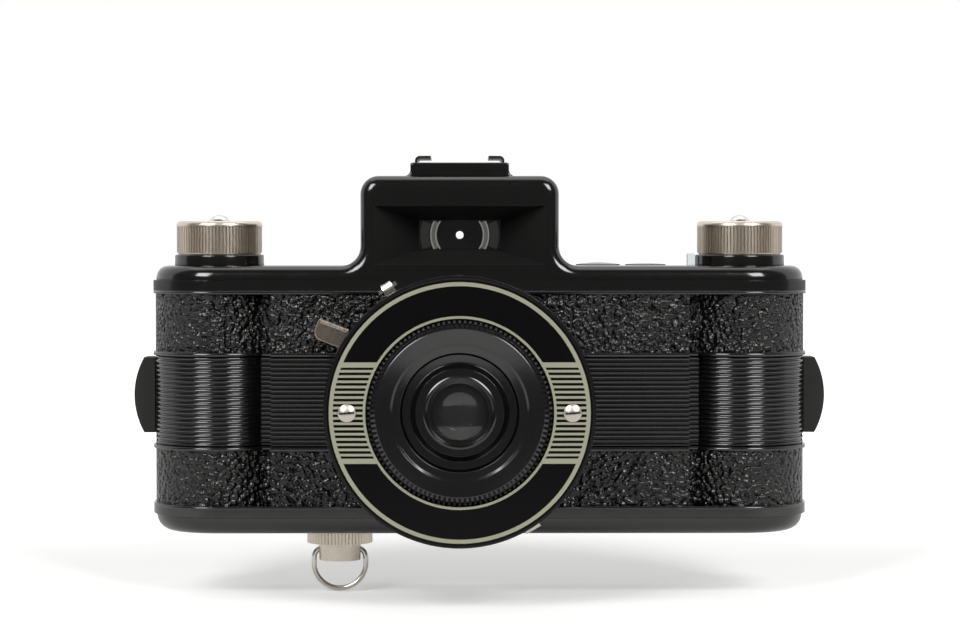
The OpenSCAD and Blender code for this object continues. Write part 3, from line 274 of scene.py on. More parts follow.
@dataclass(frozen=True)
class PebbledMoulding(Finish):
    """Moulded plastic with bands of pebbled leather grain between plain rims."""

    pebble_mm: float = 1.0  # Size of a pebble
    pebble_depth_mm: float = 0.22  # Height of a pebble
    pebble_shine: float = 0.42  # Strength of the reflection on the pebbles
    wobble: float = 2.2  # Size of the pebbles' unevenness, in pebbles
    bands_mm: Spans = ((0.0, 0.0),)  # From and to heights of each grained band
    ribs_mm: Span = (0.0, 0.0)  # From and to heights of the ribbed band
    rib_pitch_mm: float = 1.0  # Distance between ribs
    rib_depth_mm: float = 0.2  # How far a rib's crown stands out
    beads_mm: Spans = ()  # From and to heights of each rounded bead
    bead_depth_mm: float = 0.2  # How far a bead's crown stands out
    line_half_mm: float = 58.4  # Half the length of the body's middle line
    skin_mm: float = 4.0  # Least distance of an outer face from that line

    def dress(self, tree: Tree, shader: bpy.types.Node, place: Socket) -> None:
        """Adds the pebbles inside the bands and a plain polish outside them."""
        height = coordinate(tree, place, "Z")
        mask = self.within(tree, height, self.bands_mm[0])
        for band in self.bands_mm[1:]:
            mask = compute(tree, "MAXIMUM", mask, self.within(tree, height, band))
        wobble = add_node(tree, "TexNoise", {
            "Vector": place, "Scale": 1 / (self.wobble * self.pebble_mm * MM),
            "Detail": WOBBLE_DETAIL,
        }).outputs
        shift = compute(tree, "MULTIPLY", wobble["Color"], (self.pebble_mm * MM,) * 3,
                        kind="VectorMath")
        pebble = add_node(tree, "TexVoronoi", {
            "Vector": compute(tree, "ADD", place, shift, kind="VectorMath"),
            "Scale": 1 / (self.pebble_mm * MM), "Smoothness": PEBBLE_SOFTNESS,
        }, feature="SMOOTH_F1").outputs["Distance"]
        dome = compute(tree, "SUBTRACT", 1.0, compute(tree, "POWER", pebble, 2.0))
        gleam = ramp(tree, mask, (self.shine, self.pebble_shine))
        tree.links.new(gleam, shader.inputs["Specular IOR Level"])
        grained = compute(tree, "MULTIPLY", mask, self.pebble_depth_mm)
        relief = compute(tree, "MULTIPLY_ADD", dome, grained, self.rib_relief(tree, height))
        for bead in self.beads_mm:
            relief = self.add_bead(tree, height, bead, relief)
        relief = compute(tree, "MULTIPLY", relief, self.outside(tree, place))
        self.raise_grain(tree, shader, relief, 1.0)
        self.polish(tree, shader, wobble["Fac"])

    def outside(self, tree: Tree, place: Socket) -> Socket:
        """Gives one on faces that look away from the body's middle line, and zero on others.

        Args:
            tree: The material's node tree.
            place: Object coordinates in metres.

        Returns:
            The mask.
        """
        end = Vector((self.line_half_mm * MM, 0.0, 1.0))
        capped = compute(tree, "MINIMUM", place, end, kind="VectorMath")
        middle = compute(tree, "MAXIMUM", capped, -end, kind="VectorMath")
        away = compute(tree, "SUBTRACT", place, middle, kind="VectorMath")
        facing = add_node(tree, "VectorMath", {0: away, 1: place.node.outputs["Normal"]},
                          operation="DOT_PRODUCT").outputs["Value"]
        return compute(tree, "GREATER_THAN", facing, self.skin_mm * MM)

    def within(self, tree: Tree, height: Socket, band: Span) -> Socket:
        """Gives one inside a band of heights and zero outside it.

        Args:
            tree: The material's node tree.
            height: Height above the base in metres.
            band: From and to heights in millimetres.

        Returns:
            The mask.
        """
        low, high = band
        return compute(tree, "COMPARE", height, (low + high) / 2 * MM, (high - low) / 2 * MM)

    def add_bead(self, tree: Tree, height: Socket, band: Span, relief: Socket) -> Socket:
        """Adds a rounded crown over one band.

        Args:
            tree: The material's node tree.
            height: Height above the base in metres.
            band: From and to heights in millimetres.
            relief: The relief so far, in millimetres.

        Returns:
            The relief with the crown.
        """
        low, high = band
        half = (high - low) / 2
        share = compute(tree, "MULTIPLY_ADD", height, 1 / (half * MM), -(low + half) / half)
        square = compute(tree, "MULTIPLY", share, share)
        depth = self.bead_depth_mm
        crown = compute(tree, "MULTIPLY_ADD", square, -depth, depth)
        return compute(tree, "MULTIPLY_ADD", crown, self.within(tree, height, band), relief)

    def rib_relief(self, tree: Tree, height: Socket) -> Socket:
        """Rounds the crown of every rib.

        Args:
            tree: The material's node tree.
            height: Height above the base in metres.

        Returns:
            The crowns' relief in millimetres.
        """
        turns = math.tau / self.rib_pitch_mm
        phase = compute(tree, "MULTIPLY_ADD", height, turns / MM, -turns * self.ribs_mm[0])
        band = self.within(tree, height, self.ribs_mm)
        swell = compute(tree, "MULTIPLY", band, -self.rib_depth_mm / 2)
        return compute(tree, "MULTIPLY", compute(tree, "COSINE", phase), swell)


@dataclass(frozen=True)
class Glass(Finish):
    """Polished clear glass or clear plastic with faint dust."""

    bloom: float = 0.0  # Share of the light that the surface scatters

    def dress(self, tree: Tree, shader: bpy.types.Node, place: Socket) -> None:
        """Lets light through and adds dust to the polish."""
        shader.inputs["Transmission Weight"].default_value = 1.0 - self.bloom
        super().dress(tree, shader, place)


# ABS with a pressed leather grain: deep black with small bright glints on the pebbles
GRAINED_ABS = PebbledMoulding(
    "grained ABS", "#0a0a09", 0.14, shine=0.8, edge_mm=0.12, pebble_mm=1.15, pebble_depth_mm=1.0,
    bands_mm=((6.3, 18.5), (40.1, 53.0)), ribs_mm=(19.3, 39.3),
    beads_mm=((5.6, 6.3), (18.5, 19.3), (39.3, 40.1), (53.0, 53.7)))
# ABS from a polished mould: black with sharp soft-box reflections
GLOSS_ABS = Finish("gloss ABS", "#0c0c0b", 0.13, grain_mm=4.0, grain_depth_mm=0.003, shine=0.65,
                   edge_mm=0.3)
# ABS from a coarse mould: black with a broken sheen round the drum
DRUM_ABS = Finish("drum ABS", "#0f0f0e", 0.25, grain_mm=0.9, grain_depth_mm=0.1, edge_mm=0.2)
# ABS from a plain mould: dull black inside the body
MATTE_ABS = Finish("matte ABS", "#0e0e0e", 0.6)
# ABS from a fine mould: smooth black with curved highlights in the dished rings
SATIN_ABS = Finish("satin ABS", "#0d0d0d", 0.15, grain_mm=0.8, grain_depth_mm=0.002, shine=0.65,
                   edge_mm=0.1)
# Spray paint: an even black that hardly reflects
RING_PAINT = Finish("ring paint", "#060606", 0.3, grain_mm=0.6, grain_depth_mm=0.002, shine=0.12)
# Screen-printed ink: matte warm cream
CREAM_INK = Finish("cream ink", "#868674", 0.5, grain_mm=0.4, shine=0.3)
# ABS from a spark-eroded mould: even dull black inside the finder
FUNNEL_ABS = Finish("funnel ABS", "#131312", 0.6, grain_mm=0.5, grain_depth_mm=0.01, shine=0.3)
# Painted light: glowing grey streaks that stand for the light that comes in at the back and falls
# on the eyepiece's polished tube
PAINTED_STREAK_LIGHT = Finish("painted streak light", "#8f8f8b", 0.3, grain_mm=0.3, glow=0.8)
# Daylight in the sight hole: white as the background
SIGHT_LIGHT = Finish("sight light", "#f4f4f1", 0.5, grain_mm=0.3, glow=1.3)
# Painted half light: a glowing mid grey that stands for the tube's wall between the streaks, in
# half shade
PAINTED_HALF_LIGHT = Finish("painted half light", "#50504d", 0.4, grain_mm=0.6, glow=1.1)
# Painted dim light: a faint glowing grey that stands for the tube's outer wall
PAINTED_DIM_LIGHT = Finish("painted dim light", "#3a3a38", 0.4, grain_mm=0.6, glow=0.4)
# ABS with a fine grain: matte dark grey, a shade lighter than the body
LATCH_ABS = Finish("latch ABS", "#1f1e1b", 0.5, grain_mm=0.6, grain_depth_mm=0.02, shine=0.3,
                   edge_mm=0.3)
# Cast zinc with a dull pewter plating: soft warm grey reflections
PEWTER = Finish("pewter plate", "#d8cec1", 0.3, metallic=1.0, grain_mm=0.5, grain_depth_mm=0.003)
# Nickel-plated steel: pale heads with a broad soft highlight
BRIGHT_NICKEL = Finish("bright nickel", "#c4bbb1", 0.36, metallic=1.0, grain_mm=0.6)
# Chromed steel: near white with sharp reflections
CHROME = Finish("bright chrome", "#e2dfda", 0.2, metallic=1.0, grain_mm=0.6)
# Nickel-plated brass: pale grey with a warm cast
WARM_NICKEL = Finish("warm nickel", "#cbc1b5", 0.26, metallic=1.0, grain_mm=0.6)
# Nickel-plated spring sheet: bright, with clear light and dark sides
BRIGHT_SHEET = Finish("bright sheet", "#d2ccc4", 0.24, metallic=1.0, grain_mm=0.6)
# Turned mild steel: plain mid grey
TURNED_STEEL = Finish("turned steel", "#a19c94", 0.36, metallic=1.0, grain_mm=0.4)
# Bent sheet with a dark plating: grey rails with bright edges. It also paints shade on the walls
# of the screws' slots
DARK_SHEET_AND_SLOT_SHADE = Finish("dark plated sheet and painted slot shade", "#5c5a57", 0.28, metallic=1.0, grain_mm=0.5)
# Browned nickel sheet: dark brown grey with an uneven gleam
BROWN_NICKEL = Finish("brown nickel", "#a3978c", 0.28, metallic=1.0, grain_mm=0.8,
                      grain_depth_mm=0.02)
# Blackened thin sheet: dull dark grey
BLACKENED_SHEET = Finish("blackened sheet", "#3a3a38", 0.5, metallic=1.0, grain_mm=0.5)
# Bare brass: muted yellow
BARE_BRASS = Finish("bare brass", "#b39a5c", 0.3, metallic=1.0, grain_mm=0.5)
# Crown glass: clear, with sharp reflections
LENS_GLASS = Glass("lens glass", "#fbfcfc", 0.02, mottle=0.01, grain_depth_mm=0.0005)
# Acrylic lens from a polished mould: clear, with a faint grey bloom
LENS_ACRYLIC = Glass("lens acrylic", "#f2f3f2", 0.03, mottle=0.01, grain_depth_mm=0.0005,
                     bloom=0.008)
# Smoked acrylic: dark windows with a faint view of the dial
SMOKED_ACRYLIC = Glass("smoked acrylic", "#6c7077", 0.08, mottle=0.04)
# Clear acrylic: pale and slightly hazy
ACRYLIC = Glass("clear acrylic", "#d6dbdc", 0.1, mottle=0.04)
# White acetal: soft off-white
ACETAL = Finish("white acetal", "#e4e1d8", 0.45)

NODE_FINISHES: dict[Finish, tuple[str, ...]] = {
    GRAINED_ABS: ("body_shell", "back_cover"),
    GLOSS_ABS: ("top_cover", "bottom_plate"),
    DRUM_ABS: ("lens_barrel",),
    MATTE_ABS: (
        "film_chassis", "lens_mount", "lens_retainer", "take_up_spool", "sprocket",
        "shoe_insulator",
    ),
    SATIN_ABS: ("focus_ring", "lens_cell"),
    RING_PAINT: ("front_ring",),
    LATCH_ABS: ("left_latch", "right_latch"),
    PEWTER: ("advance_knob", "rewind_knob"),
    BRIGHT_NICKEL: ("ring_screws", "shoe_screws"),
    CHROME: ("advance_screw", "rewind_screw"),
    BRIGHT_SHEET: ("exposure_switch",),
    DARK_SHEET_AND_SLOT_SHADE: ("shoe_plate",),
    WARM_NICKEL: ("strap_screw", "strap_ring"),
    TURNED_STEEL: (
        "advance_shaft", "rewind_hub", "rewind_shaft", "bottom_screws", "barrel_screws",
        "pressure_plate", "pressure_spring", "shutter_spring",
    ),
    BROWN_NICKEL: ("shutter_lever",),
    BLACKENED_SHEET: ("shutter_blade", "stop_plate"),
    BARE_BRASS: ("tripod_bush", "shoe_contact"),
    LENS_GLASS: ("front_lens", "rear_lens", "finder_glass", "finder_eyepiece"),
    SMOKED_ACRYLIC: ("dial_window", "pinion_window"),
    ACRYLIC: ("index_tab",),
    ACETAL: ("pinion", "counter_dial"),
}


def dress_nodes() -> None:
    """Gives every CAD node its finish."""
    for finish, names in NODE_FINISHES.items():
        for name in names:
            node = frame["nodes"][name]
            node.data.materials.clear()
            node.data.materials.append(finish.build())
            log.info("dressed %s in %s", name, finish.name)


def node_box(name: str) -> tuple[Vector, Vector]:
    """Gives the lowest and highest corners of a CAD node in millimetres."""
    low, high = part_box(name)
    return low / MM, high / MM


def upright_axis(name: str) -> Vector:
    """Gives the middle of a CAD node in plan, at a height of zero, in millimetres."""
    low, high = node_box(name)
    return Vector(((low.x + high.x) / 2, (low.y + high.y) / 2, 0.0))


def lens_axis() -> Vector:
    """Gives the point of the lens axis at a depth of zero, in millimetres."""
    low, high = node_box("front_ring")
    return Vector(((low.x + high.x) / 2, 0.0, (low.z + high.z) / 2))


def turn(mesh: Mesh, profile: Iterable[Span], centre: Vector, axis: Vector, closed: bool = True,
         steps: int = 128) -> None:
    """Spins a profile of radius and height once round an axis.

    Args:
        mesh: The mesh to add to.
        profile: Radius and height of each point.
        centre: Where the axis starts.
        axis: The axis, along which heights are measured.
        closed: Joins the last point to the first.
        steps: Divisions of the turn.
    """
    points = [mesh.verts.new(centre + RIGHT * r + axis * h) for r, h in profile]
    ends = points[1:] + points[:1] if closed else points[1:]
    edges = [mesh.edges.new(pair) for pair in zip(points, ends)]
    bmesh.ops.spin(mesh, geom=points + edges, cent=centre, axis=axis, angle=math.tau, steps=steps,
                   use_merge=True)
    bmesh.ops.remove_doubles(mesh, verts=mesh.verts, dist=SAME)


def arc(centre: Span, radius: float, start: float, end: float, steps: int) -> list[Span]:
    """Gives points along an arc.

    Args:
        centre: The arc's centre.
        radius: Its radius.
        start: First angle in degrees.
        end: Last angle in degrees.
        steps: Number of spans.

    Returns:
        The points, both ends included.
    """
    angles = [math.radians(start + (end - start) * i / steps) for i in range(steps + 1)]
    return [(centre[0] + radius * math.cos(a), centre[1] + radius * math.sin(a)) for a in angles]


def mirrored(points: list[Span]) -> list[Span]:
    """Gives an outline from its right half, drawn towards the middle."""
    return points + [(-x, z) for x, z in reversed(points)]


def grow(mesh: Mesh, faces: list[bmesh.types.BMFace], along: Vector) -> list[bmesh.types.BMVert]:
    """Extrudes faces.

    Args:
        mesh: The mesh that they are in.
        faces: The faces.
        along: Length and direction of the extrusion.

    Returns:
        The vertices of the far ends.
    """
    geom = bmesh.ops.extrude_face_region(mesh, geom=faces)["geom"]
    moved = [v for v in geom if isinstance(v, bmesh.types.BMVert)]
    bmesh.ops.translate(mesh, verts=moved, vec=along)
    return moved


def prism(mesh: Mesh, corners: Iterable[Vector], along: Vector) -> list[bmesh.types.BMVert]:
    """Draws a flat outline and extrudes it.

    Args:
        mesh: The mesh to add to.
        corners: The outline's points, in order.
        along: Length and direction of the extrusion.

    Returns:
        The vertices of the solid.
    """
    base = mesh.faces.new([mesh.verts.new(corner) for corner in corners])
    first = list(base.verts)
    return first + grow(mesh, [base], along)


def round_edges(mesh: Mesh, edges: list[bmesh.types.BMEdge], size: float, segments: int) -> None:
    """Rounds edges, or chamfers them with one segment.

    Args:
        mesh: The mesh that they are in.
        edges: The edges.
        size: How far the rounding reaches from each edge.
        segments: Faces across the rounding.
    """
    bmesh.ops.bevel(mesh, geom=edges, offset=size, offset_type="OFFSET", segments=segments,
                    profile=0.5, affect="EDGES", material=-1)


def sweep(mesh: Mesh, path: list[Vector], radius: float, side: Vector) -> None:
    """Draws a round wire along a flat path.

    Args:
        mesh: The mesh to add to.
        path: The points of its middle line.
        radius: Radius of the wire.
        side: Direction square to the path's plane.
    """
    rings = []
    last = len(path) - 1
    for i, point in enumerate(path):
        along = (path[min(i + 1, last)] - path[max(i - 1, 0)]).normalized()
        place = Matrix((along.cross(side), side, along)).transposed().to_4x4()
        place.translation = point
        ring = bmesh.ops.create_circle(mesh, cap_ends=i in (0, last), segments=WIRE_SIDES,
                                       radius=radius, matrix=place)
        rings.append(list({e for v in ring["verts"] for e in v.link_edges}))
    for first, second in zip(rings, rings[1:]):
        bmesh.ops.bridge_loops(mesh, edges=first + second)


def new_object(name: str, mesh: Mesh, finish: Finish) -> bpy.types.Object:
    """Turns a mesh drawn in millimetres into an object.

    Args:
        name: The object's name.
        mesh: Its mesh, freed here.
        finish: Its finish.

    Returns:
        The new object.
    """
    bmesh.ops.recalc_face_normals(mesh, faces=mesh.faces)
    bmesh.ops.scale(mesh, vec=(MM, MM, MM), verts=mesh.verts)
    data = bpy.data.meshes.new(name)
    mesh.to_mesh(data)
    mesh.free()
    data.materials.append(finish.build())
    made = bpy.data.objects.new(name, data)
    bpy.context.collection.objects.link(made)
    return made


def make_piece(name: str, mesh: Mesh, finish: Finish, body: Body,
               replaces: tuple[str, ...] = (), smooth: float = SMOOTH_ANGLE) -> bpy.types.Object:
    """Turns a mesh drawn in millimetres into a piece of the object.

    Args:
        name: The piece's name.
        mesh: Its mesh, freed here.
        finish: Its finish.
        body: The body that it rides on.
        replaces: CAD nodes that it stands for.
        smooth: Edges sharper than this many degrees stay sharp.

    Returns:
        The new object.
    """
    piece = new_object(name, mesh, finish)
    piece.data.shade_smooth()
    piece.data.set_sharp_from_angle(angle=math.radians(smooth))
    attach(piece, body.value)
    if replaces:
        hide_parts(*replaces)
    log.info("made %s: %d faces", name, len(piece.data.polygons))
    return piece


def carve(piece: bpy.types.Object, cutter: Mesh, finish: Finish) -> None:
    """Cuts a solid drawn in millimetres out of a piece.

    Args:
        piece: The piece to cut.
        cutter: The solid to take away, freed here.
        finish: The finish of the cut faces.
    """
    tool = new_object("cutter", cutter, finish)
    cut = piece.modifiers.new("cut", "BOOLEAN")
    cut.object = tool
    cut.solver = "EXACT"
    cut.material_mode = "TRANSFER"
    bpy.context.view_layer.update()
    graph = bpy.context.evaluated_depsgraph_get()
    result = bpy.data.meshes.new_from_object(piece.evaluated_get(graph))
    piece.modifiers.remove(cut)
    piece.data = result
    result.name = piece.name
    result.set_sharp_from_angle(angle=math.radians(SMOOTH_ANGLE))
    bpy.data.objects.remove(tool)


@dataclass
class Studio:
    """Camera, lights, floor and background."""

    eye_mm: Vector = Vector((-4.5, -600.0, 66.0))  # Where the photograph was taken from
    focal_px: float = 2670.0  # Focal length in pixels of the photograph's frame
    axis_px: Span = (459.7, 235.0)  # Pixel at which the camera would look straight along Y
    frame_px: tuple[int, int] = (960, 639)  # Size of the photograph's frame
    sensor_mm: float = 36.0  # Width of the camera's sensor
    table_half: float = 6.0  # Half the size of the table in metres
    table_front: float = 0.2  # How far the table reaches in front of the object, in metres
    table_gap: float = 0.0002  # How far it lies below the object, in metres
    paper: str = "#f4f4f2"  # Its sRGB colour
    paper_roughness: float = 0.9  # Its roughness
    # Where the shadow's part of the table ends and the white part starts, in metres
    shadow_y: Span = (0.05, 0.4)
    # White that the camera sees added to the table, in its two parts
    floor_lift: Span = (0.26, 0.9)
    dim: Span = (0.11, 0.5)  # Light of the room behind the camera and behind the object
    dim_y: Span = (-0.3, 0.7)  # Directions along Y between which that light changes
    aim_mm: Vector = Vector((-4.5, 0.0, 40.0))  # What the softboxes point at
    # Where the right softbox stands; the left one mirrors it
    side_mm: Vector = Vector((400.0, -650.0, 480.0))
    side_m: Span = (0.32, 0.41)  # Width and height of both
    side_w: float = 5.2  # Power of each in watts
    top_mm: Vector = Vector((0.0, 80.0, 640.0))  # Where the top softbox hangs
    top_m: Span = (0.7, 0.4)  # Its width and height
    top_w: float = 0.8  # Its power in watts

    def build(self) -> None:
        """Builds the whole studio."""
        self.add_camera()
        self.add_world()
        self.add_floor()
        for side in (-1, 1):
            place = Vector((side * self.side_mm.x, self.side_mm.y, self.side_mm.z))
            self.add_softbox(f"softbox {side}", place, self.side_m, self.side_w)
        self.add_softbox("top softbox", self.top_mm, self.top_m, self.top_w)

    def add_camera(self) -> None:
        """Points the camera so that the frame matches the photograph."""
        data = bpy.data.cameras.new("camera")
        data.sensor_fit = "HORIZONTAL"
        data.sensor_width = self.sensor_mm
        data.lens = self.sensor_mm * self.focal_px / self.frame_px[0]
        across = (self.frame_px[0] / 2 - self.axis_px[0]) / self.focal_px
        down = (self.frame_px[1] / 2 - self.axis_px[1]) / self.focal_px
        camera = bpy.data.objects.new("camera", data)
        camera.location = self.eye_mm * MM
        look = Vector((across, 1.0, -down))
        camera.rotation_euler = look.to_track_quat("-Z", "Y").to_euler()
        bpy.context.collection.objects.link(camera)
        bpy.context.scene.camera = camera

    def add_world(self) -> None:
        """White behind the object, dim grey behind the camera."""
        world = bpy.data.worlds.new("studio")
        world.use_nodes = True
        tree = world.node_tree
        shade = tree.nodes["Background"]
        side = coordinate(tree, add_node(tree, "TexCoord").outputs["Generated"], "Y")
        dim = ramp(tree, side, self.dim, self.dim_y)
        path = add_node(tree, "LightPath").outputs
        behind = compute(tree, "GREATER_THAN", side, 0.0)
        bounced = compute(tree, "MAXIMUM", path["Is Transmission Ray"], path["Is Glossy Ray"])
        through = compute(tree, "MULTIPLY", bounced, behind)
        seen = compute(tree, "MAXIMUM", path["Is Camera Ray"], through)
        shade.inputs["Color"].default_value = WHITE
        tree.links.new(compute(tree, "MAXIMUM", dim, seen), shade.inputs["Strength"])
        bpy.context.scene.world = world

    def add_floor(self) -> None:
        """A pale table below the strap ring, white to the camera but for the object's shadow."""
        mesh = bmesh.new()
        bmesh.ops.create_grid(mesh, x_segments=1, y_segments=1, size=self.table_half)
        place = (0, self.table_half - self.table_front, CAD_BOX[0].z - self.table_gap)
        bmesh.ops.translate(mesh, verts=mesh.verts, vec=place)
        data = bpy.data.meshes.new("floor")
        mesh.to_mesh(data)
        mesh.free()
        paper = bpy.data.materials.new("white paper")
        paper.use_nodes = True
        tree = paper.node_tree
        shader = tree.nodes["Principled BSDF"]
        shader.inputs["Base Color"].default_value = linear(self.paper)
        shader.inputs["Roughness"].default_value = self.paper_roughness
        shader.inputs["Emission Color"].default_value = WHITE
        path = add_node(tree, "LightPath").outputs
        seen = compute(tree, "MAXIMUM", path["Is Camera Ray"], path["Is Transmission Ray"])
        depth = coordinate(tree, add_node(tree, "TexCoord").outputs["Object"], "Y")
        lift = ramp(tree, depth, self.floor_lift, self.shadow_y)
        glow = compute(tree, "MULTIPLY", seen, lift)
        tree.links.new(glow, shader.inputs["Emission Strength"])
        data.materials.append(paper)
        floor = bpy.data.objects.new("floor", data)
        bpy.context.collection.objects.link(floor)

    def add_softbox(self, name: str, place_mm: Vector, size: Span, power: float) -> None:
        """Adds an area light aimed at the object.

        Args:
            name: The light's name.
            place_mm: Where it stands.
            size: Its width and height in metres.
            power: Its power in watts.
        """
        data = bpy.data.lights.new(name, "AREA")
        data.shape = "RECTANGLE"
        data.size, data.size_y = size
        data.energy = power
        light = bpy.data.objects.new(name, data)
        light.location = place_mm * MM
        light.rotation_euler = (self.aim_mm - place_mm).to_track_quat("-Z", "Y").to_euler()
        bpy.context.collection.objects.link(light)


@dataclass
class LensFront:
    """The painted ring, its print and screws, the focusing ring, the cell and the lens.

    Sizes are in millimetres, and radii are from the lens axis.
    """

    screw_r: float = 1.9  # Radius of the ring's screws
    screw_h: float = 0.6  # Height of their domes
    head_h: float = 0.25  # Height of their heads under the dome
    slot_w: float = 0.42  # Width of their slots
    slot_d: float = 0.4  # Depth of their slots
    slot_reach: float = 3.0  # Length of a slot's cutter, in head radii
    slot_tilt: float = -0.09  # Turn of their slots from level, in radians
    ring_w: float = 8.6  # Width of the painted ring
    ring_chamfer: float = 0.3  # Chamfer on the ring's edges
    ink_t: float = 0.04  # Thickness of the print
    rim_line: Span = (26.75, 27.6)  # Inner and outer radius of the outer printed line
    bore_line: Span = (19.9, 20.45)  # Inner and outer radius of the inner printed line
    panel_half: float = 10.7  # Half the height of the striped panels
    panel_edge: float = 1.1  # Thickness of the panels' upper and lower bars
    stripe_pitch: float = 1.105  # Distance between stripes
    stripe_t: float = 0.53  # Thickness of a printed stripe
    stripes: int = 18  # Number of dark gaps in a panel
    teeth: int = 108  # Serrations round the focusing ring
    # Share of the slope that a tooth covers, its width and its height
    tooth: Triple = (0.9, 0.52, 0.5)
    slope: Span = (1.6, 1.4)  # Width and fall of the ring's serrated slope
    # Radius and depth of each point from the slope's inner edge over the dish to the bore
    ring_steps: Spans = (
        (17.9075, 0.05), (17.7575, 0.0), (17.5575, 0.05), (14.7, 0.6215), (14.25, 0.9015),
        (12.7, 1.2315), (12.6, 1.3315), (12.6, 4.8), (12.45, 4.8),
    )
    # Edges of the focusing ring sharper than this many degrees stay sharp
    ring_smooth: float = 14.0
    # How far inside the cell's rim and how deep each point of its flange lies
    cell_flange: Spans = ((1.4, 2.8), (0.0, 2.8), (0.0, 1.5), (0.1, 1.4))
    # Radius and depth of each step from the flange to the lens
    cell_steps: Spans = (
        (10.9, 1.62), (10.6, 1.66), (10.35, 1.55), (9.35, 0.32), (7.8, 0.3), (7.6, 0.2),
        (7.42, 0.16), (7.3, 0.18), (7.2, 0.3), (7.1, 1.0), (6.95, 1.1), (6.15, 1.2), (6.15, 2.0),
        (6.6, 2.0),
    )
    cell_smooth: float = 15.0  # Edges of the cell sharper than this many degrees stay sharp
    lens_edge: float = 3.0  # Thickness of the front lens at its edge
    lens_lip: float = 0.45  # Width of the flat lip round its front face
    lens_rise: float = 0.5  # Rise of its front face
    lens_bulge: float = 0.33  # Bulge of its rear face
    bulge_r: float = 3.9  # Radius of that bulge
    centre: Vector = field(init=False, default_factory=lens_axis)
    face: float = field(init=False, default=0.0)

    def build(self) -> None:
        """Builds the ring, its print, the focusing ring, the cell, the lens and the screws."""
        self.face = -node_box("front_ring")[0].y
        self.add_ring()
        self.add_print()
        self.add_focus_ring()
        self.add_cell()
        self.add_lens()
        self.add_screws()

    def measure(self, node: str) -> Triple:
        """Gives a turned node's radius and how far forward its front and back lie."""
        low, high = node_box(node)
        return (high.x - low.x) / 2, -low.y, -high.y

    def add_ring(self) -> None:
        """The painted ring with a small bright chamfer on both edges."""
        outer, face, back = self.measure("front_ring")
        inner = outer - self.ring_w
        edge = self.ring_chamfer
        mesh = bmesh.new()
        turn(mesh, [(inner, back), (outer, back), (outer, face - edge), (outer - edge, face),
                    (inner + edge, face), (inner, face - edge)], self.centre, FRONT, steps=180)
        make_piece("painted_ring", mesh, RING_PAINT, Body.CAMERA, ("front_ring",))

    def add_screws(self) -> None:
        """Two low-domed screws with a slot, in the striped panels, with painted shade on the
        slots' walls.
        """
        radius, sag = self.screw_r, self.screw_h
        at = self.measure("ring_screws")[0] - radius
        places = [self.centre + RIGHT * side * at for side in (-1, 1)]
        ball = (radius * radius + sag * sag) / (2 * sag)
        profile = [(0, self.face + FIT), (radius, self.face + FIT)]
        for t in SCREW_DOME:
            dome = math.sqrt(ball * ball - (radius * t) ** 2) - ball + sag
            profile.append((radius * t, self.face + self.head_h + dome))
        mesh = bmesh.new()
        for place in places:
            turn(mesh, profile, place, FRONT, closed=False, steps=48)
        piece = make_piece("slotted_ring_screws", mesh, BRIGHT_NICKEL, Body.CAMERA,
                           ("ring_screws",))
        slots = bmesh.new()
        tilt = Matrix.Rotation(self.slot_tilt, 3, "Y")
        floor = self.face + self.head_h + sag - self.slot_d
        for place in places:
            slot = bmesh.ops.create_cube(slots, size=1.0)["verts"]
            size = (self.slot_reach * radius, PAST, self.slot_w)
            bmesh.ops.scale(slots, vec=size, verts=slot)
            bmesh.ops.rotate(slots, verts=slot, cent=(0, 0, 0), matrix=tilt)
            bmesh.ops.translate(slots, verts=slot, vec=place + FRONT * (floor + PAST / 2))
        # The slots' walls take the dark sheet finish: painted shade inside the slots
        carve(piece, slots, DARK_SHEET_AND_SLOT_SHADE)

    def add_cell(self) -> None:
        """The stepped ring round the front lens."""
        outer, front, back = self.measure("lens_cell")
        profile = [(self.cell_steps[-1][0], back), (outer - self.cell_flange[0][0], back)]
        profile += [(outer - inset, front - depth) for inset, depth in self.cell_flange]
        profile += [(radius, front - depth) for radius, depth in self.cell_steps]
        mesh = bmesh.new()
        turn(mesh, profile, self.centre, FRONT)
        make_piece("stepped_cell", mesh, SATIN_ABS, Body.CELL, ("lens_cell",),
                   self.cell_smooth)

    def add_lens(self) -> None:
        """A lens with a low front face and a rear face that bulges into its retainer."""
        edge, _, back = self.measure("front_lens")
        lip = back + self.lens_edge
        clear = edge - self.lens_lip
        shares = [i / LENS_STEPS for i in range(LENS_STEPS + 1)]
        profile = [(self.bulge_r * t, back - self.lens_bulge * (1 - t * t)) for t in shares]
        profile += [(edge, back), (edge, lip), (clear, lip)]
        profile += [(clear * t, lip + self.lens_rise * (1 - t * t)) for t in reversed(shares[:-1])]
        mesh = bmesh.new()
        turn(mesh, profile, self.centre, FRONT, closed=False, steps=96)
        make_piece("bulged_lens", mesh, LENS_ACRYLIC, Body.CELL, ("front_lens",))

    def add_print(self) -> None:
        """Two printed lines and a striped panel on each side."""
        mesh = bmesh.new()
        top = self.face + self.ink_t
        for inner, outer in (self.rim_line, self.bore_line):
            turn(mesh, [(inner, self.face), (outer, self.face), (outer, top), (inner, top)],
                 self.centre, FRONT)
        half = self.panel_half
        bars = [(half - self.panel_edge, half), (-half, self.panel_edge - half)]
        for i in range(1, self.stripes):
            z = (i - self.stripes / 2) * self.stripe_pitch
            bars.append((z - self.stripe_t / 2, z + self.stripe_t / 2))
        for side in (-1, 1):
            for low, high in bars:
                self.add_stripe(mesh, side, low, high)
        make_piece("ring_print", mesh, CREAM_INK, Body.CAMERA)

    def add_stripe(self, mesh: Mesh, side: int, low: float, high: float) -> None:
        """Adds one bar between the two printed lines.

        Args:
            mesh: The mesh to add to.
            side: One for the right panel, minus one for the left.
            low: Its lower edge from the lens axis.
            high: Its upper edge.
        """
        inner, outer = self.bore_line[1], self.rim_line[0]
        corners = []
        for radius, z in ((inner, low), (outer, low), (outer, high), (inner, high)):
            x = side * math.sqrt(radius * radius - z * z)
            corners.append(self.centre + RIGHT * x + UP * z + FRONT * self.face)
        prism(mesh, corners, FRONT * self.ink_t)

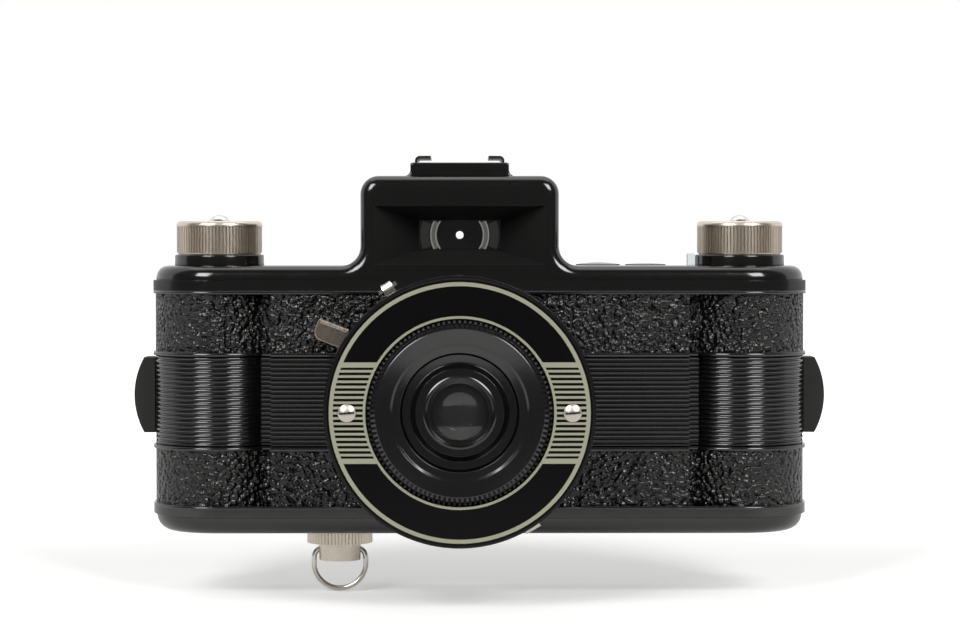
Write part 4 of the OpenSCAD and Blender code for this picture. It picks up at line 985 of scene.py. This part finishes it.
    def add_focus_ring(self) -> None:
        """A dished ring with fine serrations on its sloping edge."""
        outer, crest, back = self.measure("focus_ring")
        width, fall = self.slope
        profile = [(self.ring_steps[-1][0], back), (outer, back), (outer, crest - fall)]
        profile += [(radius, crest - depth) for radius, depth in self.ring_steps]
        mesh = bmesh.new()
        turn(mesh, profile, self.centre, FRONT, steps=180)
        share, wide, tall = self.tooth
        length, tilt = math.hypot(width, fall), math.atan2(fall, width)
        middle = RIGHT * (outer - width / 2) + FRONT * (crest - fall / 2)
        for i in range(self.teeth):
            tooth = bmesh.ops.create_cube(mesh, size=1.0)["verts"]
            bmesh.ops.scale(mesh, vec=(length * share, wide, tall), verts=tooth)
            place = (
                Matrix.Translation(self.centre)
                @ Matrix.Rotation(math.tau * i / self.teeth, 4, "Y") @ Matrix.Translation(middle)
                @ Matrix.Rotation(-tilt, 4, "Z") @ Matrix.Rotation(math.pi / 2, 4, "X")
            )
            bmesh.ops.transform(mesh, matrix=place, verts=tooth)
        make_piece("serrated_focus_ring", mesh, SATIN_ABS, Body.FOCUS,
                   ("focus_ring",), self.ring_smooth)


@dataclass
class TopCover:
    """The low cover with its finder hump, collars, shoe and windows, in millimetres."""

    lens_x: float = -4.5  # Middle of the hump
    chamber_x: float = 58.4  # Axis of the round ends
    roof_z: float = 59.2  # Top of the low cover
    hump_z: float = 79.0  # Top of the hump
    hump_half: float = 21.85  # Half the hump's width
    corner: float = 4.0  # Radius of the hump's upper corners
    flare: float = 4.4  # Radius where the hump's sides meet the cover
    edge: float = 2.6  # Radius along the front and rear edges
    wall: float = 1.5  # Thickness of the cover's walls
    finder_z: float = 66.0  # Height of the finder's axis
    mouth: Span = (18.9, 6.4)  # Half width and half height of the finder's mouth
    neck: Span = (9.12, 3.32)  # The same at its glass
    neck_y: float = -1.6  # Front of the glass
    tube_y: float = 11.0  # Rear end of the square tube
    sight_r: float = 0.87  # Radius of the sight hole
    # How much wider than its node each bore in the cover is, as a radius
    bore_grow: tuple[tuple[str, float], ...] = (
        ("advance_shaft", 0.05), ("rewind_hub", -1.55), ("dial_window", -0.78),
        ("pinion_window", -0.78),
    )
    collar: Span = (10.0, 2.46)  # Radius and height of the collars
    collar_round: float = 0.4  # Radius of the collars' upper edge
    collar_bores: Span = (5.0, 3.05)  # Radius of the left and the right collar's bore
    # How far the shoe's seat reaches past the shoe to the side and to the end
    seat_over: Span = (1.0, 1.2)
    seat_flare: float = 1.4  # Radius at the foot of the seat
    seat_round: float = 0.5  # Radius of the seat's upper corners
    seat_edge: float = 0.4  # Radius of the seat's front and rear edges
    seat_room: float = 5.0  # Height of the room cut for the shoe
    shoe_t: float = 0.6  # Thickness of the shoe's sheet
    shoe_bend: float = 1.1  # Outer radius of the rails' bends
    shoe_gap: float = 12.8  # Gap between the rails
    # Inner and outer radius of the bright arcs in the finder, which glow as painted light
    streaks: Spans = ((5.3, 5.6), (6.45, 6.75))
    # The shaded arcs glow as painted half light
    shades: Spans = ((5.6, 6.45),)  # The same of the shaded arcs
    # The dim arcs glow as painted dim light
    dims: Spans = ((7.0, 9.0),)  # The same of the dim arcs
    streak_t: float = 0.05  # Thickness of the arcs
    streak_share: float = 0.98  # Share of the window's height that the arcs take up
    window_edge: float = 0.25  # Height of the two windows at their edge
    window_lip: float = 0.8  # How far their plugs lie inside that edge
    low: Vector = field(init=False, default_factory=Vector)
    high: Vector = field(init=False, default_factory=Vector)

    def build(self) -> None:
        """Builds the cover and cuts its hollows, then adds what stands on it."""
        self.low, self.high = node_box("top_cover")
        cover = make_piece("moulded_cover", self.shell(), GLOSS_ABS, Body.CAMERA,
                           ("top_cover",))
        carve(cover, self.funnel(), FUNNEL_ABS)
        for cutter in (self.sight(), self.hollow(), self.bores()):
            carve(cover, cutter, MATTE_ABS)
        self.add_collars()
        self.add_seat()
        self.add_shoe()
        self.add_finder_rings()
        self.add_window("domed_dial_window", "dial_window")
        self.add_window("domed_pinion_window", "pinion_window")

    def outline(self) -> list[Vector]:
        """Gives the front outline from the right foot over the hump to the left foot."""
        side = self.lens_x + self.hump_half
        half = arc((side + self.flare, self.roof_z + self.flare), self.flare, 270, 180, 10)
        half += arc((side - self.corner, self.hump_z - self.corner), self.corner, 0, 90, 10)
        points = [(self.chamber_x, self.low.z), (self.chamber_x, self.roof_z)] + half
        points += [(2 * self.lens_x - x, z) for x, z in reversed(half)]
        points += [(-self.chamber_x, self.roof_z), (-self.chamber_x, self.low.z)]
        return [Vector((x, -self.high.y, z)) for x, z in points]

    def shell(self) -> Mesh:
        """Extrudes the outline, rounds its edges and spins the ends."""
        mesh = bmesh.new()
        prism(mesh, self.outline(), Vector((0, 2 * self.high.y, 0)))
        rim = [e for e in mesh.edges if e.verts[0].co.y == e.verts[1].co.y
               and max(v.co.z for v in e.verts) > self.low.z + NEAR
               and not all(abs(v.co.x) > self.chamber_x - NEAR for v in e.verts)]
        round_edges(mesh, rim, self.edge, 8)
        bmesh.ops.bisect_plane(mesh, geom=mesh.verts[:] + mesh.edges[:] + mesh.faces[:],
                               plane_co=(0, 0, 0), plane_no=(0, 1, 0), dist=NEAR)
        for side in (-1, 1):
            end = side * self.chamber_x
            flat = [f for f in mesh.faces if all(abs(v.co.x - end) < NEAR for v in f.verts)]
            bmesh.ops.delete(mesh, geom=flat, context="FACES_ONLY")
            front = [e for e in mesh.edges
                     if all(abs(v.co.x - end) < NEAR and v.co.y < NEAR for v in e.verts)
                     and not all(abs(v.co.y) < NEAR for v in e.verts)]
            corners = list({v for e in front for v in e.verts})
            bmesh.ops.spin(mesh, geom=corners + front, cent=(end, 0, 0), axis=(0, 0, 1),
                           angle=side * math.pi, steps=32)
        bmesh.ops.remove_doubles(mesh, verts=mesh.verts, dist=NEAR)
        return mesh

    def funnel(self) -> Mesh:
        """The finder's mouth, which narrows to its glass, and the tube behind it."""
        mesh = bmesh.new()
        centre = Vector((self.lens_x, 0, self.finder_z))
        depth = self.high.y
        grow_by = 1 + PAST / (self.neck_y + depth) * (1 - self.neck[0] / self.mouth[0])
        wide, tall = (size * grow_by for size in self.mouth)
        rings = []
        for y, w, h in ((-depth - PAST, wide, tall), (self.neck_y, *self.neck),
                        (self.tube_y, *self.neck)):
            corners = [mesh.verts.new(centre + Vector((a * w, y, b * h)))
                       for a, b in ((-1, -1), (1, -1), (1, 1), (-1, 1))]
            rings.append([mesh.edges.new((corners[i - 1], corners[i])) for i in range(4)])
        for first, second in zip(rings, rings[1:]):
            bmesh.ops.bridge_loops(mesh, edges=first + second)
        bmesh.ops.holes_fill(mesh, edges=rings[0] + rings[-1], sides=4)
        return mesh

    def sight(self) -> Mesh:
        """The sight hole and the eyepiece's seat behind it."""
        low, high = node_box("finder_eyepiece")
        radius = (high.x - low.x) / 2 + FIT
        start, end = self.tube_y - PAST, self.high.y + PAST
        mesh = bmesh.new()
        turn(mesh, [(0, start), (self.sight_r, start), (self.sight_r, low.y), (radius, low.y),
                    (radius, end), (0, end)],
             Vector((self.lens_x, 0, self.finder_z)), -FRONT, closed=False, steps=48)
        return mesh

    def hollow(self) -> Mesh:
        """The room for the counter's gears under the roof."""
        radius = self.high.y - self.wall
        outline = arc((self.chamber_x, 0), radius, -90, 90, 24)
        outline += arc((-self.chamber_x, 0), radius, 90, 270, 24)
        floor = self.low.z - PAST
        mesh = bmesh.new()
        prism(mesh, [Vector((x, y, floor)) for x, y in outline],
              UP * (self.roof_z - self.wall - floor))
        return mesh

    def bores(self) -> Mesh:
        """The holes for the knobs' shafts and the two windows."""
        mesh = bmesh.new()
        top = self.roof_z + PAST
        for name, wider in self.bore_grow:
            low, high = node_box(name)
            radius = (high.x - low.x) / 2 + wider
            turn(mesh, [(0, self.low.z), (radius, self.low.z), (radius, top), (0, top)],
                 upright_axis(name), UP, closed=False, steps=48)
        return mesh

    def add_collars(self) -> None:
        """A low collar with a rounded edge under each knob."""
        radius, height = self.collar
        top, edge = self.roof_z + height, self.collar_round
        mesh = bmesh.new()
        for side, bore in zip((-1, 1), self.collar_bores):
            profile = [(bore, self.roof_z), (radius, self.roof_z)]
            profile += arc((radius - edge, top - edge), edge, 0, 90, 4) + [(bore, top)]
            turn(mesh, profile, Vector((side * self.chamber_x, 0, 0)), UP, steps=96)
        make_piece("knob_collars", mesh, GLOSS_ABS, Body.CAMERA)

    def add_window(self, name: str, node: str) -> None:
        """A low domed window with a plug in the cover's bore.

        Args:
            name: The piece's name.
            node: The node that it stands for.
        """
        low, high = node_box(node)
        radius, edge = (high.x - low.x) / 2, self.roof_z + self.window_edge
        plug, rise = radius - self.window_lip, high.z - edge
        profile = [(0, low.z), (plug, low.z), (plug, self.roof_z), (radius, self.roof_z),
                   (radius, edge)]
        profile += [(radius * t, high.z - rise * t * t) for t in WINDOW_DOME]
        mesh = bmesh.new()
        turn(mesh, profile, upright_axis(node), UP, closed=False, steps=64)
        make_piece(name, mesh, SMOKED_ACRYLIC, Body.CAMERA, (node,))

    def add_shoe(self) -> None:
        """The accessory shoe, bent from sheet."""
        low, high = node_box("shoe_plate")
        half, sheet, bend = (high.x - low.x) / 2, self.shoe_t, self.shoe_bend
        corner, gap = (half - bend, high.z - bend), self.shoe_gap / 2
        right = [(half, low.z)] + arc(corner, bend, 0, 90, 6)
        right += [(gap, high.z), (gap, high.z - sheet)]
        right += arc(corner, bend - sheet, 90, 0, 6) + [(half - sheet, low.z + sheet)]
        mesh = bmesh.new()
        prism(mesh, [Vector((self.lens_x + x, low.y, z)) for x, z in mirrored(right)],
              Vector((0, high.y - low.y, 0)))
        make_piece("bent_shoe", mesh, DARK_SHEET_AND_SLOT_SHADE, Body.CAMERA, ("shoe_plate",))

    def add_seat(self) -> None:
        """The flared seat that holds the accessory shoe."""
        low, high = node_box("shoe_plate")
        half = (high.x - low.x) / 2 + self.seat_over[0]
        length = (high.y - low.y) / 2 + self.seat_over[1]
        flare, corner = self.seat_flare, self.seat_round
        right = arc((half + flare, self.hump_z + flare), flare, 270, 180, 6)
        right += arc((half - corner, self.high.z - corner), corner, 0, 90, 4)
        mesh = bmesh.new()
        prism(mesh, [Vector((self.lens_x + x, -length, z)) for x, z in mirrored(right)],
              Vector((0, 2 * length, 0)))
        rim = [e for e in mesh.edges if e.verts[0].co.y == e.verts[1].co.y
               and max(v.co.z for v in e.verts) > self.hump_z + NEAR]
        round_edges(mesh, rim, self.seat_edge, 3)
        seat = make_piece("shoe_seat", mesh, GLOSS_ABS, Body.CAMERA)
        room = bmesh.new()
        left, right_x, end = low.x - FIT, high.x + FIT, length + PAST
        prism(room, [Vector((x, y, low.z)) for x, y in (
            (left, low.y), (right_x, low.y), (right_x, end), (left, end))], UP * self.seat_room)
        carve(seat, room, GLOSS_ABS)

    def add_finder_rings(self) -> None:
        """Painted light: glowing arcs for the streaks of light on the eyepiece's tube, on both
        sides of the sight hole, and a glowing disc for the daylight in the sight hole.
        """
        for name, finish, arcs in (("painted_finder_streaks", PAINTED_STREAK_LIGHT, self.streaks),
                                   ("painted_finder_half_light", PAINTED_HALF_LIGHT, self.shades),
                                   ("painted_finder_dim_light", PAINTED_DIM_LIGHT, self.dims)):
            mesh = bmesh.new()
            for inner, outer in arcs:
                self.add_streak(mesh, inner, outer)
            make_piece(name, mesh, finish, Body.CAMERA)
        mesh = bmesh.new()
        radius, top = self.sight_r, self.streak_t
        turn(mesh, [(0, 0), (radius, 0), (radius, top), (0, top)],
             Vector((self.lens_x, self.tube_y, self.finder_z)), FRONT, closed=False, steps=32)
        make_piece("sight_light", mesh, SIGHT_LIGHT, Body.CAMERA)

    def add_streak(self, mesh: Mesh, inner: float, outer: float) -> None:
        """Adds a thin arc on each side, cut off by the window's height.

        Args:
            mesh: The mesh to add to.
            inner: Its inner radius.
            outer: Its outer radius.
        """
        centre = Vector((self.lens_x, self.tube_y, self.finder_z))
        reach = math.asin(self.neck[1] / outer) * self.streak_share
        top = self.streak_t
        for side in (-1, 1):
            points = [mesh.verts.new(centre + Vector((side * r, -h, 0)))
                      for r, h in ((inner, 0), (outer, 0), (outer, top), (inner, top))]
            edges = [mesh.edges.new((points[i], points[i - 1])) for i in range(4)]
            bmesh.ops.rotate(mesh, verts=points, cent=centre,
                             matrix=Matrix.Rotation(-reach, 3, "Y"))
            bmesh.ops.spin(mesh, geom=points + edges, cent=centre, axis=(0, 1, 0),
                           angle=2 * reach, steps=24)
        bmesh.ops.holes_fill(mesh, edges=[e for e in mesh.edges if e.is_boundary], sides=4)


@dataclass
class Controls:
    """The fluted knobs, the strap ring, two finger tabs and the shutter lever, in millimetres."""

    wire_r: float = 0.6  # Radius of the strap ring's wire
    shoulder: float = 2.0  # Radius of the ring's upper bends
    pin_in: float = 1.6  # How near its pins come to the middle
    # Inner and outer radius of the exposure tab from the lens axis, half its width
    switch_tab: Triple = (29.9, 31.5, 1.2)
    switch_turn: float = 121.0  # Direction of that tab from the lens axis, in degrees
    # The same sizes of the stop plate's tab
    stop_tab: Triple = (29.9, 31.4, 1.8)
    stop_turn: float = -59.0  # Its direction from the lens axis, in degrees
    tab_rise: float = 0.6  # How far the tabs are bent up
    lever_dir: float = 151.0  # Direction in which the shutter lever points, in degrees
    lever_len: float = 16.3  # Length of the lever from its pivot
    arm_len: float = 9.8  # Where its arm leaves the drum
    plate_dir: float = 159.5  # Direction of its finger plate, in degrees
    # Length of the finger plate and its reach below and above the lever's tip
    plate: Triple = (6.9, -1.9, 2.6)
    plate_rounds: Span = (2.0, 0.6)  # Radius of the plate's lower and upper corner
    plate_edge: float = 0.2  # Chamfer round the plate's face
    lever_t: float = 1.0  # Thickness of the lever's sheet
    roll_r: float = 0.5  # Radius of the rolled edge along its top
    flutes: int = 80  # Flutes round a knob
    # Points along one flute, and how many of them lie in its valley
    flute_points: tuple[int, int] = (6, 2)
    flute_d: float = 0.45  # Depth of a flute
    flute_in: float = 0.08  # How far the crests between flutes lie inside the rim
    rim_h: float = 1.2  # Height of the plain rim above the flutes
    rim_round: float = 0.9  # Radius of the rim's upper edge
    # How far in the dish in the top starts and ends, and its depth
    top_dish: Triple = (1.6, 1.9, 0.15)
    skirt_h: float = 0.3  # Height of the plain skirt below the flutes
    skirt_in: Span = (0.4, 0.35)  # How far the skirt's lower and upper edge lie inside the rim
    knob_bore: float = 3.1  # Radius of the skirt's bore

    def build(self) -> None:
        """Builds the knobs, the strap ring, the tabs and the lever."""
        self.add_knob("fluted_advance_knob", "advance_knob", Body.ADVANCE)
        self.add_knob("fluted_rewind_knob", "rewind_knob", Body.REWIND)
        self.add_strap_ring()
        self.add_tab("bent_tab", "exposure_switch", Body.SWITCH, self.switch_tab, self.switch_turn)
        self.add_tab("bent_stop_tab", "stop_plate", Body.STOP, self.stop_tab, self.stop_turn)
        self.add_lever()

    def add_lever(self) -> None:
        """The shutter lever with its finger plate, whose upper edge is rolled over."""
        joint = next(j for j in frame["joints"] if j["name"] == "lever_press")
        pivot = Vector(joint["pos_m"]) / MM
        front = node_box("shutter_lever")[0].y
        heading = math.radians(self.lever_dir)
        along = RIGHT * math.cos(heading) + UP * math.sin(heading)
        mesh = bmesh.new()
        mesh.from_mesh(frame["nodes"]["shutter_lever"].data)
        bmesh.ops.scale(mesh, vec=(1 / MM,) * 3, verts=mesh.verts)
        bmesh.ops.remove_doubles(mesh, verts=mesh.verts, dist=NEAR)
        bmesh.ops.bisect_plane(mesh, geom=mesh.verts[:] + mesh.edges[:] + mesh.faces[:], dist=NEAR,
                               plane_co=pivot + along * self.arm_len, plane_no=along,
                               clear_outer=True)
        bmesh.ops.holes_fill(mesh, edges=[e for e in mesh.edges if e.is_boundary], sides=0)
        length, low, high = self.plate
        lower, upper = self.plate_rounds
        outline = [(length, low)] + arc((lower, low + lower), lower, 270, 180, 8)
        outline += arc((upper, high - upper), upper, 180, 90, 4) + [(length, high)]
        tip = pivot + along * self.lever_len
        tip.y = front
        lean = math.radians(self.plate_dir) - math.pi
        across = RIGHT * math.cos(lean) + UP * math.sin(lean)
        upward = UP * math.cos(lean) - RIGHT * math.sin(lean)
        plate = prism(mesh, [tip + across * u + upward * v for u, v in outline],
                      -FRONT * self.lever_t)
        face = [v for v in plate if abs(v.co.y - front) < NEAR]
        rim = [e for e in mesh.edges if all(v in face for v in e.verts)]
        round_edges(mesh, rim, self.plate_edge, 1)
        roll = upward * (high - self.roll_r)
        sweep(mesh, [tip + across * u + roll for u in (self.roll_r, length)], self.roll_r, FRONT)
        make_piece("finger_lever", mesh, BROWN_NICKEL, Body.LEVER,
                   ("shutter_lever",))

    def add_strap_ring(self) -> None:
        """The wire ring, whose pins turn in the strap screw's boss."""
        low, high = node_box("strap_ring")
        reach, bend = (high.x - low.x) / 2 - self.wire_r, self.shoulder
        top, centre = high.z - self.wire_r, low.z + self.wire_r + reach
        half = [(self.pin_in, top)] + arc((reach - bend, top - bend), bend, 90, 0, 8)
        half += arc((0, centre), reach, 0, -90, 16)
        points = half + [(-x, z) for x, z in reversed(half[:-1])]
        middle = upright_axis("strap_ring")
        mesh = bmesh.new()
        sweep(mesh, [middle + Vector((x, 0, z)) for x, z in points], self.wire_r, -FRONT)
        make_piece("wire_ring", mesh, BRIGHT_SHEET, Body.STRAP_RING, ("strap_ring",))

    def add_tab(self, name: str, node: str, body: Body, sizes: Triple, bearing: float) -> None:
        """Adds a bent finger tab in front of a sheet that swings in the drum.

        Args:
            name: The piece's name.
            node: The sheet that carries it.
            body: The body that it rides on.
            sizes: Its inner and outer radius from the lens axis and half its width.
            bearing: Its direction from the lens axis, in degrees.
        """
        centre = lens_axis()
        centre.y = node_box(node)[0].y
        near, far, half = sizes
        bend = [(near + (far - near) * t, self.tab_rise * (1 - t * t)) for t in TAB_BEND]
        mesh = bmesh.new()
        tab = prism(mesh, [centre + Vector((x, -y, -half)) for x, y in [(near, 0)] + bend],
                    UP * 2 * half)
        bmesh.ops.rotate(mesh, verts=tab, cent=centre,
                         matrix=Matrix.Rotation(-math.radians(bearing), 3, "Y"))
        make_piece(name, mesh, BRIGHT_SHEET, body)

    def add_knob(self, name: str, node: str, body: Body) -> None:
        """Builds one knob over its CAD node.

        Args:
            name: The piece's name.
            node: The node that it stands for.
            body: The body that it rides on.
        """
        low, high = node_box(node)
        centre, radius = upright_axis(node), (high.x - low.x) / 2
        foot, shoulder = low.z + self.skirt_h, high.z - self.rim_h
        count, valley = self.flute_points
        mesh = bmesh.new()
        ring = bmesh.ops.create_circle(mesh, cap_ends=True, radius=radius - self.flute_in,
                                       segments=count * self.flutes)["verts"]
        for i, vert in enumerate(ring):
            if i % count < valley:
                vert.co *= 1 - self.flute_d / radius
        bmesh.ops.translate(mesh, verts=ring, vec=centre + UP * foot)
        grow(mesh, mesh.faces[:], UP * (shoulder - foot))
        start, end, depth = self.top_dish
        corner, dish = self.rim_round, high.z - depth
        profile = [(0, shoulder), (radius, shoulder)]
        profile += arc((radius - corner, high.z - corner), corner, 0, 90, 6)
        profile += [(radius - start, high.z), (radius - end, dish), (0, dish)]
        turn(mesh, profile, centre, UP, closed=False, steps=96)
        lower, upper = (radius - inside for inside in self.skirt_in)
        turn(mesh, [(self.knob_bore, low.z), (lower, low.z), (upper, foot),
                    (self.knob_bore, foot)], centre, UP, steps=96)
        make_piece(name, mesh, PEWTER, body, (node,))


def main() -> None:
    """Builds the object and its studio."""
    logging.basicConfig(level=logging.INFO, format="%(message)s")
    bpy.context.scene.view_settings.view_transform = "Standard"
    Studio().build()
    dress_nodes()
    TopCover().build()
    LensFront().build()
    Controls().build()


if __name__ == "__main__":
    main()
